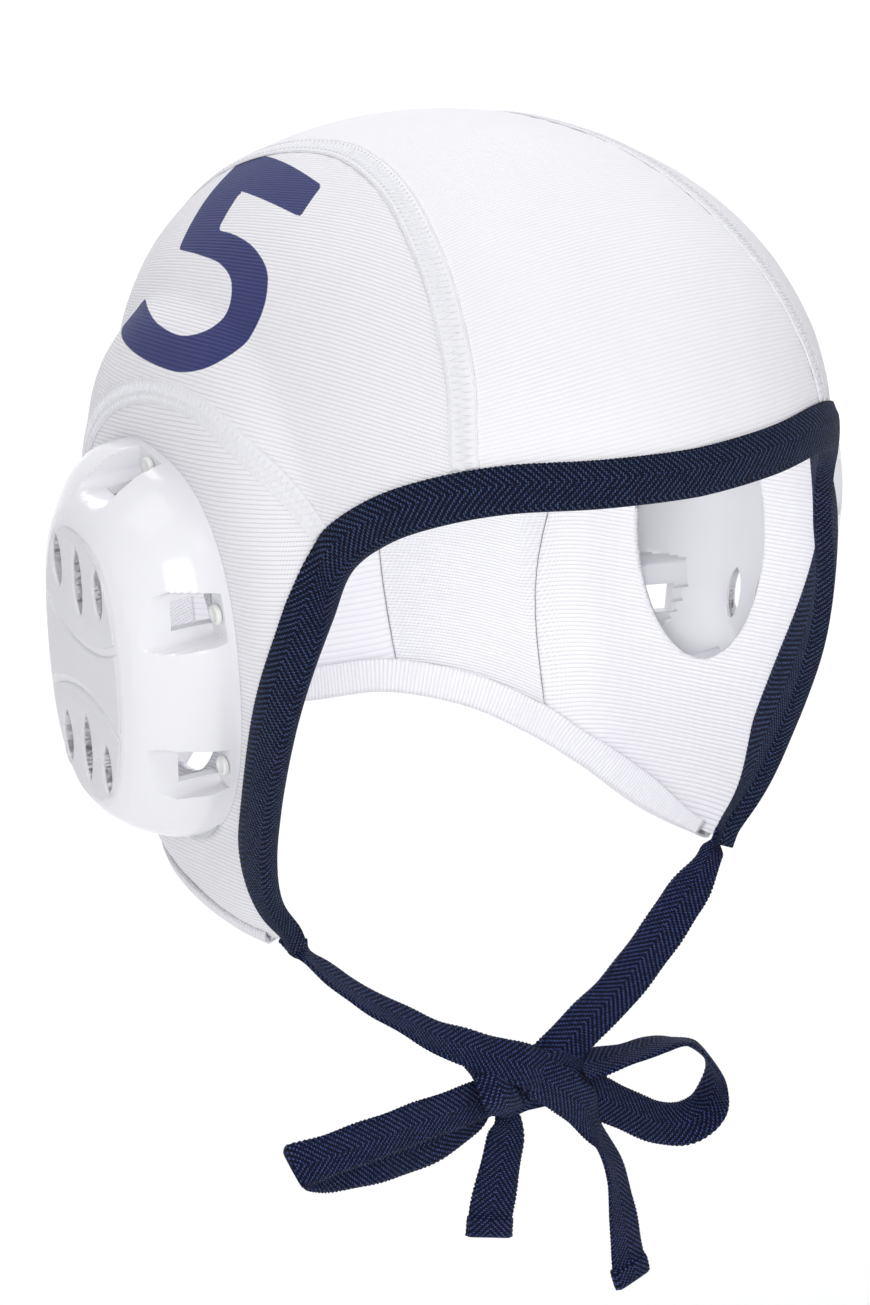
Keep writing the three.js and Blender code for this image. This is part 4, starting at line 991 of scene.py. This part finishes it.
def folded_outline(width, crown):
    """Corners of a tape folded over an edge, with a rounded fold and a soft swell on its outer leg."""
    outer, inner = CLOTH + LINING_GAP, -LINING_GAP
    leg = np.linspace(0, 1, 9)
    swell = crown * np.sin(math.pi * leg) ** 0.7
    pressed = LINING_GAP * (1 - smoothstep(leg, 0, 0.3))
    out_leg = [(width * (1 - s), outer + TAPE + bulge - down) for s, bulge, down in zip(leg, swell, pressed)]
    turns = np.linspace(math.pi / 2, -math.pi / 2, 9)[1:-1]
    middle, half = (outer + inner) / 2, (outer - inner) / 2 + TAPE
    fold = [(-0.9 * math.cos(t) + 0.3, middle + half * math.sin(t)) for t in turns]
    in_leg = [(width * s, inner - TAPE) for s in leg]
    under = [(width, inner), (width * 0.5, inner), (TAPE, inner), (TAPE, outer), (width * 0.7, outer),
             (width, CLOTH)]
    return np.array(out_leg + fold + in_leg + under)


def band_piece(name, line, outline, material, node, slot, end_share, scallop=0.0):
    """A folded strip along a line, narrower at both ends; its outline is reach and height."""
    run = run_along(line)
    side = unit(np.cross(tangents(line), outward(line)))
    edge = outline[:, 0] > outline[:, 0].max() - 0.2
    ripple = scallop * np.abs(np.sin(run * math.pi / SCALLOP_PITCH))[:, None] * edge
    narrow = end_share + (1 - end_share) * smoothstep(np.minimum(run, run[-1] - run), 0, END_TAPER)
    spread = outline[:, 0] * narrow[:, None] + ripple
    spots = drape(line[:, None] + side[:, None] * spread[..., None])
    points, faces = tube_mesh(spots + outward(spots) * outline[:, 1, None])
    across = np.concatenate([[0], np.cumsum(np.linalg.norm(np.diff(outline, axis=0), axis=1))])
    uv = np.stack([np.tile(across, len(line)), np.repeat(run, len(across))], axis=1)
    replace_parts(make_piece(name, points, faces, material, uv=uv, slot=slot), node)


def resampled(line, spacing):
    run = run_along(line)
    return at_run(np.linspace(0, run[-1], int(run[-1] / spacing) + 1), run, line)


def clear_of(line, edge, distance):
    """Length along a line until it is clear of an edge by a distance."""
    gaps = np.linalg.norm(line[:, None] - edge[None], axis=2).min(axis=1)
    return run_along(line)[np.argmax(gaps > distance)]


def cut_line(line, start, end, spacing):
    run = run_along(line)
    count = int((run[-1] - start - end) / spacing)
    return drape(at_run(np.linspace(start, run[-1] - end, count + 1), run, line))


face_whole, neck_whole = joined(mirrored(face_half), face_half), joined(neck_half, mirrored(neck_half))
tip_trim = clear_of(resampled(neck_half, 0.3), face_half, BINDING_WIDTH + 2 * GAP)
band_piece("binding", drape(resampled(face_whole, 0.4)), folded_outline(BINDING_WIDTH, 0.35), binding_twill,
           "face_binding", "navy_tape", 0.3, scallop=0.28)
band_piece("hem", cut_line(neck_whole, tip_trim, tip_trim, 1.2), folded_outline(HEM_WIDTH, 0.15), cloth,
           "neck_hem", "cloth", 0.5)


# Seams
# Corners of a seam's band: share of its width, and height
SEAM_OUTLINE = np.array([
    (-0.5, 0.0), (-0.48, 0.1), (-0.38, 0.28), (0.0, 0.24), (0.38, 0.28), (0.48, 0.1), (0.5, 0.0), (0.0, 0.0)])
SEAM_FOOT = CLOTH + 0.06
SEAM_CLEAR = 0.3
BAND_SPACING, RIDGE_SPACING = 0.8, 0.28


def thread_along(line, offsets, heights, radius):
    """A thread beside a line on the head's wall, raised from the wall."""
    side = unit(np.cross(outward(line), tangents(line)))
    spots = drape(line + side * offsets[:, None])
    middle = spots + outward(spots) * heights[:, None]
    tangent = unit(tangents(middle))
    side = unit(np.cross(tangent, unit(outward(middle))))
    normal = np.cross(side, tangent)
    turn = np.linspace(0, 2 * math.pi, 6, endpoint=False)[None, :, None]
    around = np.cos(turn) * side[:, None] + np.sin(turn) * normal[:, None]
    return tube_mesh(middle[:, None] + radius * around)


def seam_piece(name, line, width, node, ridges, threads):
    """A low band with rolled edges and rows of zigzag thread over it, on both sides of the head.

    A ridge has its share of the width, radius and pitch. A thread has its low and high share of the width,
    pitch, phase and radius.
    """
    fine = resampled(line, 0.3)
    start = clear_of(fine, face_half, BINDING_WIDTH + SEAM_CLEAR)
    end = clear_of(fine[::-1], neck_half, HEM_WIDTH + SEAM_CLEAR)
    base = cut_line(line, start, end, BAND_SPACING)
    side = unit(np.cross(outward(base), tangents(base)))
    spots = drape(base[:, None] + side[:, None] * (SEAM_OUTLINE[:, 0] * width)[None, :, None])
    bodies = [tube_mesh(spots + outward(spots) * (SEAM_FOOT + SEAM_OUTLINE[:, 1])[None, :, None])]
    for low, high, pitch, phase, radius in threads:
        path = cut_line(line, start, end, pitch / 8)
        swing = 2 / math.pi * np.arcsin(np.sin(run_along(path) * 2 * math.pi / pitch + phase) * 0.98)
        offset = (low + high) / 2 * width + (high - low) / 2 * width * swing
        bodies.append(thread_along(path, offset, SEAM_FOOT + 0.24 + radius * 0.5 * (1 - swing ** 4), radius))
    path = cut_line(line, start, end, RIDGE_SPACING)
    run = run_along(path)
    for share, radius, pitch in ridges:
        swell = np.abs(np.sin(run * math.pi / pitch))
        wander = share * width + 0.08 * np.sin(run / 3.7) + 0.14 * np.sin(run * 2 * math.pi / pitch)
        bodies.append(thread_along(path, wander, SEAM_FOOT + 0.02 + 0.18 * swell, radius))
    right = make_piece(name + "_right", *merged(bodies), thread_white)
    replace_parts(right, node + "_right")
    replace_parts(flipped(right, name + "_left"), node + "_left")


seam_piece("stitch_crown", crown_seam, CROWN_SEAM_WIDTH, "crown_seam",
           [(-0.45, 0.27, 0.9), (0.47, 0.16, 1.05)],
           [(-0.36, 0.32, 1.7, 0.0, 0.21), (0.34, 0.46, 1.1, 0.8, 0.13)])
seam_piece("stitch_ear", ear_seam, EAR_SEAM_WIDTH, "ear_seam",
           [(-0.46, 0.18, 0.9), (0.46, 0.18, 0.9)],
           [(-0.42, 0.1, 1.7, 0.0, 0.19), (0.12, 0.4, 1.7, 1.6, 0.17)])


# Ear guards: the dome's rows are shares of depth, width and height, and a window has its turn and place along
GUARD_ROWS = np.array([
    (0.0, 1.0, 1.0), (0.22, 0.985, 0.99), (0.5, 0.9, 0.935), (0.75, 0.76, 0.86), (0.92, 0.64, 0.79),
    (1.0, 0.54, 0.74)])
GUARD_WINDOWS = [(0, 0.42), (0, -0.4), (90, 0.0), (180, -0.19), (180, 0.59), (270, 0.0)]
GUARD_ROLL = math.radians(6)
FACE_FORWARD = 2.5
WINDOW_NAMES = ["front_upper", "front_lower", "top", "back_upper", "back_lower", "bottom"]
FACE_ACROSS, FACE_ALONG = GUARD_WIDTH / 2 * GUARD_ROWS[-1, 1], GUARD_HEIGHT / 2 * GUARD_ROWS[-1, 2]
FACE_INSET, LENS_RADIUS, LENS_MIDDLE, GROOVE = 1.3, 31.0, 38.0, 2.0
RELIEF = 0.7
SLOTS = [(-0.54, 0.65, 13.5), (0.0, 0.61, 18.0), (0.54, 0.65, 13.5)]
SLOT_WIDTH = 5.0
LOW_END_NARROW = 0.12
GUARD_SIDES, RING_SIDES = 480, 240
SKIRT, POCKET_ROUND = 2.7, 2.6
PLATE_BEVEL, PLATE_HALF = 0.45, 0.9


def oval_line(across, along, turns):
    spots = np.stack([np.cos(turns), np.sin(turns)], axis=-1)
    return np.sign(spots) * np.abs(spots) ** (2 / GUARD_SQUARE) * (across, along)


def oval_turns(count):
    """Turns that space points evenly round the guard's outline."""
    fine = np.linspace(0, 2 * math.pi, 20001)
    line = oval_line(GUARD_WIDTH / 2, GUARD_HEIGHT / 2, fine)
    run = run_along(line)
    return np.interp(np.arange(count) / count * run[-1], run, fine)


def window_matrix(turn, along):
    angle = math.radians(turn)
    reach, span = (GUARD_HEIGHT, GUARD_WIDTH) if turn % 180 else (GUARD_WIDTH, GUARD_HEIGHT)
    rim = reach / 2 * (1 - abs(along) ** GUARD_SQUARE) ** (1 / GUARD_SQUARE)
    return Matrix.Rotation(angle, 4, "Z") @ Matrix.Translation((rim, along * span / 2, 0))


def in_window(x, y, turn, along):
    inverse = np.array(window_matrix(turn, along).inverted())
    return (row[0] * x + row[1] * y + row[3] for row in inverse[:2])


def smooth_min(a, b, blend):
    h = np.clip(0.5 + 0.5 * (b - a) / blend, 0, 1)
    return b * (1 - h) + a * h - blend * h * (1 - h)


def pocket_roof(x, y, grow, floor):
    """Height that the pockets leave at a place on the guard."""
    roof = np.full(x.shape, 60.0)
    for turn, along in GUARD_WINDOWS:
        px, py = in_window(x, y, turn, along)
        dx = -POCKET_REACH - grow - px + POCKET_ROUND
        dy = np.abs(py) - POCKET_WIDTH / 2 - grow + POCKET_ROUND
        gap = np.hypot(np.maximum(dx, 0), np.maximum(dy, 0)) + np.minimum(np.maximum(dx, dy), 0)
        rise = np.clip((gap - POCKET_ROUND + 1.5) / 1.9, 0, 30)
        roof = np.minimum(roof, floor + 26 * rise ** 2.2)
    return roof


def guard_profile(wall, rows_curved, rows_flat):
    rows = GUARD_ROWS * (GUARD_DEPTH - wall, GUARD_WIDTH / 2, GUARD_HEIGHT / 2)
    rows[:, 1:] -= wall
    curve = at_shares(rows, np.linspace(0, 1, rows_curved))
    curve[:, 1] = np.minimum(curve[:, 1], rows[0, 1])
    curve[:, 2] = np.minimum(curve[:, 2], rows[0, 2])
    curve[:, 0] = np.minimum(curve[:, 0], rows[-1, 0])
    shrink = np.linspace(1, 0.02, rows_flat)[1:, None]
    flat = np.hstack([np.full((rows_flat - 1, 1), rows[-1, 0]), rows[-1, 1:] * shrink])
    return np.vstack([curve, flat])


def guard_layer(wall, rows_curved, rows_flat, floor, blend):
    turns = oval_turns(GUARD_SIDES)
    profile = guard_profile(wall, rows_curved, rows_flat)
    rim = profile[0, 1:]
    profile = np.vstack([[(-SKIRT, *(rim - 0.3)), (-SKIRT + 0.3, *rim)], profile])
    layer = []
    for z, across, along in profile:
        spots = oval_line(across, along, turns)
        spots[:, 0] += FACE_FORWARD * smoothstep(z / GUARD_DEPTH, 0.25, 1.0)
        height = smooth_min(np.full(len(turns), z), pocket_roof(spots[:, 0], spots[:, 1], wall, floor), blend)
        height = np.where(z < floor * 0.8, z, np.maximum(height, min(z, floor * 0.8)))
        layer.append(np.hstack([spots, height[:, None]]))
    return np.array(layer)


def guard_shell():
    outer = guard_layer(wall=0.0, rows_curved=76, rows_flat=8, floor=POCKET_FLOOR, blend=2.4)
    inner = guard_layer(wall=GUARD_WALL, rows_curved=14, rows_flat=4, floor=POCKET_FLOOR - 1.5, blend=1.5)
    return tube_mesh(np.concatenate([outer[::-1], inner]))


def box_points(low, high):
    return [(x, y, z) for z in (low[2], high[2]) for y in (low[1], high[1]) for x in (low[0], high[0])]


BOX_FACES = [(0, 2, 3, 1), (4, 5, 7, 6), (0, 1, 5, 4), (1, 3, 7, 5), (3, 2, 6, 7), (2, 0, 4, 6)]


def lens_outline(across, along, length):
    turn = np.linspace(-math.pi / 2, math.pi / 2, 22)
    s = np.sin(turn)
    half = SLOT_WIDTH / 2 * np.cos(turn).clip(0) ** 1.25
    right = np.stack([across + half, along + s * length / 2], axis=1)
    left = np.stack([across - half[::-1], along + s[::-1] * length / 2], axis=1)[1:-1]
    return np.vstack([right, left])


def guard_cutters():
    windows, slots = [], []
    for turn, along in GUARD_WINDOWS:
        matrix = window_matrix(turn, along)
        low = (-POCKET_REACH - GUARD_WALL - 2.5, -WINDOW_HEIGHT / 2, -3.5)
        high = (WINDOW_REACH - POCKET_REACH, WINDOW_HEIGHT / 2, WINDOW_TOP)
        windows.append(([tuple(matrix @ Vector(p)) for p in box_points(low, high)], BOX_FACES))
    for across, along, length in SLOTS:
        for sign in (1, -1):
            outline = lens_outline(across * FACE_ACROSS + FACE_FORWARD, sign * along * FACE_ALONG, length)
            count = len(outline)
            ring = [(x, y, z) for z in (GUARD_DEPTH / 2, GUARD_DEPTH + 5) for x, y in outline]
            walls = [(k, (k + 1) % count, (k + 1) % count + count, k + count) for k in range(count)]
            slots.append((ring, walls + [tuple(range(count))[::-1], tuple(range(count, 2 * count))]))
    return [new_object(name, new_mesh(name, *merged(bodies))) for name, bodies in (("windows", windows),
                                                                                   ("slots", slots))]


def face_plates():
    """Outlines of the lens panel towards the face's lower end and of the waisted panel between the two."""
    turns = np.linspace(0, 2 * math.pi, 721)[:-1]
    face = oval_line(FACE_ACROSS - FACE_INSET, FACE_ALONG - FACE_INSET, turns)
    middle = np.array((0, -LENS_MIDDLE))
    disc = middle + LENS_RADIUS * np.stack([np.cos(turns), np.sin(turns)], axis=1)
    inside_face = (np.abs(disc[:, 0]) / (FACE_ACROSS - FACE_INSET)) ** GUARD_SQUARE + (
        np.abs(disc[:, 1]) / (FACE_ALONG - FACE_INSET)) ** GUARD_SQUARE < 1
    arc = disc[inside_face & (disc[:, 1] > -LENS_MIDDLE)]
    cap = face[(np.linalg.norm(face - middle, axis=1) < LENS_RADIUS) & (face[:, 1] < 0)]
    lens = np.vstack([arc[np.argsort(-arc[:, 0])], cap[np.argsort(np.arctan2(cap[:, 0], -cap[:, 1]))]])
    radius = LENS_RADIUS + GROOVE
    side = face[(np.linalg.norm(face - (0, LENS_MIDDLE), axis=1) > radius)
                & (np.linalg.norm(face + (0, LENS_MIDDLE), axis=1) > radius)]
    right, left = side[side[:, 0] > 0], side[side[:, 0] < 0]
    right, left = right[np.argsort(right[:, 1])], left[np.argsort(-left[:, 1])]
    arcs = []
    for sign, start, end in ((1, right[-1], left[0]), (-1, left[-1], right[0])):
        xs = np.linspace(start[0], end[0], 60)[1:-1]
        arcs.append(np.stack([xs, sign * (LENS_MIDDLE - np.sqrt(radius ** 2 - xs ** 2))], axis=1))
    holes = [lens_outline(a * FACE_ACROSS, -b * FACE_ALONG, c) for a, b, c in SLOTS]
    return (lens, holes), (np.vstack([right, arcs[0], left, arcs[1]]), [])


@contextmanager
def editing(mesh):
    build = bmesh.new()
    build.from_mesh(mesh)
    yield build
    build.to_mesh(mesh)
    build.free()


def plate_mesh(outline, holes):
    data = bpy.data.curves.new("plate", "CURVE")
    data.dimensions = "2D"
    data.fill_mode = "BOTH"
    data.extrude = PLATE_HALF
    data.bevel_depth = PLATE_BEVEL
    data.bevel_resolution = 2
    data.offset = -PLATE_BEVEL
    for line in [outline] + holes:
        spline = data.splines.new("POLY")
        spline.points.add(len(line) - 1)
        flat = np.hstack([line, np.zeros((len(line), 1)), np.ones((len(line), 1))])
        spline.points.foreach_set("co", flat.ravel())
        spline.use_cyclic_u = True
    holder = new_object("plate", data)
    mesh = bpy.data.meshes.new_from_object(holder.evaluated_get(bpy.context.evaluated_depsgraph_get()))
    bpy.data.objects.remove(holder)
    mesh.transform(Matrix.Translation((0, 0, GUARD_DEPTH + RELIEF - PLATE_HALF - PLATE_BEVEL)))
    with editing(mesh) as build:
        bmesh.ops.remove_doubles(build, verts=build.verts, dist=0.002)
    return mesh


def boolean_cut(piece, cutter):
    change = piece.modifiers.new("cut", "BOOLEAN")
    change.operation = "DIFFERENCE"
    change.solver = "EXACT"
    change.object = cutter
    mesh = bpy.data.meshes.new_from_object(piece.evaluated_get(bpy.context.evaluated_depsgraph_get()))
    piece.modifiers.clear()
    return mesh


def shade(mesh, angle=math.radians(38)):
    """Smooth faces with sharp edges where the surface turns."""
    mesh.polygons.foreach_set("use_smooth", [True] * len(mesh.polygons))
    with editing(mesh) as build:
        for edge in build.edges:
            edge.smooth = len(edge.link_faces) != 2 or edge.calc_face_angle(0) < angle


def ear_matrix(side, height):
    base, axes = EARS[side]
    rows = [list(axes[:, k]) + [base[k] + axes[2, k] * height] for k in range(3)] + [[0, 0, 0, 1]]
    return Matrix.Scale(MM, 4) @ Matrix(rows)


def narrowed(mesh):
    """Draws the guard's lower end in a little."""
    for corner in mesh.vertices:
        reach = min(max(-corner.co.y / (GUARD_HEIGHT / 2), 0), 1)
        corner.co.x *= 1 - LOW_END_NARROW * reach ** 2


def placed(mesh, name, side, height, slot):
    """A piece of the guard on its side of the head, rolled as the photograph shows it."""
    narrowed(mesh)
    roll, mirror = Matrix.Rotation(side * GUARD_ROLL, 4, "Z"), Matrix.Scale(-side, 4, (1, 0, 0))
    mesh.transform(ear_matrix(side, height) @ roll @ mirror)
    if side > 0:
        mesh.flip_normals()
    mesh.name = name
    return new_piece(name, mesh)


def make_guard():
    shell = new_object("shell", new_mesh("shell", *guard_shell()))
    for cutter in guard_cutters():
        shell.data = boolean_cut(shell, cutter)
        bpy.data.objects.remove(cutter)
    mesh = shell.data.copy()
    bpy.data.objects.remove(shell)
    mesh.materials.clear()
    mesh.materials.append(guard_white)
    mesh.materials.append(face_white)
    shade(mesh)
    lens, waist = face_plates()
    plates = [plate_mesh(*lens), plate_mesh(*lens), plate_mesh(*waist)]
    plates[1].transform(Matrix.Rotation(math.pi, 4, "Z"))
    with editing(mesh) as build:
        for face in build.faces:
            face.material_index = 0
        for plate in plates:
            plate.transform(Matrix.Translation((FACE_FORWARD, 0, 0)))
            shade(plate, math.radians(50))
            start = len(build.faces)
            build.from_mesh(plate)
            build.faces.ensure_lookup_table()
            for face in build.faces[start:]:
                face.material_index = 1
    return mesh


def lathe(profile, sides=28):
    profile = np.array(profile, float)
    turn = np.linspace(0, 2 * math.pi, sides, endpoint=False)
    points = np.stack([profile[:, 0, None] * np.cos(turn), profile[:, 0, None] * np.sin(turn),
                       profile[:, 1, None] * np.ones(sides)], axis=-1).reshape(-1, 3)
    faces = turned_out(points, grid_faces(len(profile), sides, around=True))
    return points, faces


def pins_mesh():
    seat = POCKET_FLOOR + GAP
    top = seat + PIN_HEAD_THICK
    foot = seat - 2.2
    profile = [
        (0.02, foot), (PIN_RADIUS - 0.2, foot), (PIN_RADIUS, foot + 0.2), (PIN_RADIUS, seat),
        (PIN_HEAD - 0.25, seat), (PIN_HEAD, seat + 0.3), (PIN_HEAD, top - 0.45),
        (PIN_HEAD - 0.18, top - 0.12), (PIN_HEAD - 0.5, top), (PIN_HEAD - 0.85, top - 0.12),
        (PIN_HEAD - 1.15, top - 0.38), (0.8, top - 0.5), (0.02, top - 0.52)]
    points, faces = lathe(profile)
    bodies = []
    for turn, along in GUARD_WINDOWS:
        matrix = np.array(window_matrix(turn, along) @ Matrix.Translation((PIN_PLACE, 0, 0)))
        bodies.append((points @ matrix[:3, :3].T + matrix[:3, 3], faces))
    mesh = new_mesh("pins", *merged(bodies), pin_white)
    shade(mesh, math.radians(60))
    return mesh


def ring_mesh():
    turns = oval_turns(RING_SIDES)
    tucked = GUARD_WIDTH / 2 - GUARD_WALL - 0.2
    lower, upper = GUARD_HEIGHT / 2 + RING_PEEK / 2, GUARD_HEIGHT / 2 - GUARD_WALL
    outer = oval_line(tucked, lower, turns)
    outer[outer[:, 1] > 0, 1] *= upper / lower
    inner = oval_line(GUARD_WIDTH / 2 - RING_BAND, GUARD_HEIGHT / 2 - RING_BAND, turns)
    edge, top = 0.35, RING_THICK - 0.4
    rows = []
    for line, inset, z in ((outer, 1, 0.0), (outer, 0, edge), (outer, 0, top - edge), (outer, 1, top),
                           (inner, -1, top), (inner, 0, top - edge), (inner, 0, edge), (inner, -1, 0.0)):
        spot = line * (1 - inset * edge / 45)
        rows.append(np.hstack([spot + (0, -RING_PEEK / 2), np.full((RING_SIDES, 1), z)]))
    rows.append(rows[0])
    points = np.array(rows).reshape(-1, 3)
    faces = turned_out(points, grid_faces(len(rows), RING_SIDES, around=True))
    points = points[:-RING_SIDES]
    mesh = new_mesh("ring", points, faces % len(points), ring_clear)
    shade(mesh, math.radians(50))
    return mesh


guard_mesh, pin_mesh, base_mesh = make_guard(), pins_mesh(), ring_mesh()
for side, word in ((-1, "right"), (1, "left")):
    guard = placed(guard_mesh.copy(), "guard_" + word, side, GUARD_SEAT, "guard_shell")
    ring = placed(base_mesh.copy(), "ring_" + word, side, RING_SEAT, "clear_ring")
    pins = placed(pin_mesh.copy(), "pins_" + word, side, GUARD_SEAT, "pin")
    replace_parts(guard, "ear_guard_" + word)
    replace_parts(ring, "guard_ring_" + word)
    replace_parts(pins, *[f"guard_pin_{name}_{word}" for name in WINDOW_NAMES])


# Floor, lights and world
def make_stage():
    depth = np.concatenate([[-3.0], np.linspace(1.2, 2.2, 12), [2.2, 2.2]])
    rise = np.concatenate([[0.0], 1 - np.sqrt(np.clip(1 - np.linspace(0, 1, 12) ** 2, 0, 1)), [2.0, 3.5]])
    points, faces = [], []
    for k, (y, z) in enumerate(zip(depth, rise)):
        points += [(-4, y, z - 0.40), (4, y, z - 0.40)]
        if k:
            faces.append((2 * k - 2, 2 * k - 1, 2 * k + 1, 2 * k))
    shader = Shader("floor_pale", Base_Color=(0.93, 0.93, 0.935, 1), Roughness=0.9, Specular_IOR_Level=0.1)
    mesh = new_mesh("floor", points, faces, shader.material)
    mesh.polygons.foreach_set("use_smooth", [True] * len(mesh.polygons))
    floor = new_object("floor", mesh)


def make_light(name, kind, place, power):
    data = bpy.data.lights.new(name, kind)
    data.energy = power
    light = new_object(name, data)
    light.location = place
    return light


def area_light(name, place, target, size, power):
    light = make_light(name, "AREA", place, power)
    light.data.size = size
    light.rotation_euler = (Vector(place) - Vector(target)).to_track_quat("Z", "Y").to_euler()


def inside_light(place, radius, power):
    """Fills the hollow cap, which the photograph leaves white."""
    light = make_light("inside", "POINT", place, power)
    light.data.shadow_soft_size = radius
    light.visible_camera = False


make_stage()
# Area lights: name, place, target, size and power
for light_row in (
        ("key", (0.5, -1.1, 0.9), (0, 0, -0.1), 0.7, 4.8),
        ("front", (-1.1, -1.65, 0.5), (0, 0, -0.12), 0.8, 17.5),
        ("top", (-0.75, 0.0, 1.2), (0, 0, -0.1), 0.9, 4.2),
        ("backdrop", (0.9, 1.4, 1.6), (0.8, 1.2, -0.4), 1.6, 32)):
    area_light(*light_row)
inside_light((0.0, 0.02, -0.085), 0.04, 0.1)
world = bpy.data.worlds.new("studio")
bpy.context.scene.world = world
world.use_nodes = True
world.node_tree.nodes["Background"].inputs[0].default_value = (0.97, 0.975, 1.0, 1)
world.node_tree.nodes["Background"].inputs[1].default_value = 0.36
bpy.context.scene.view_settings.view_transform = "Standard"
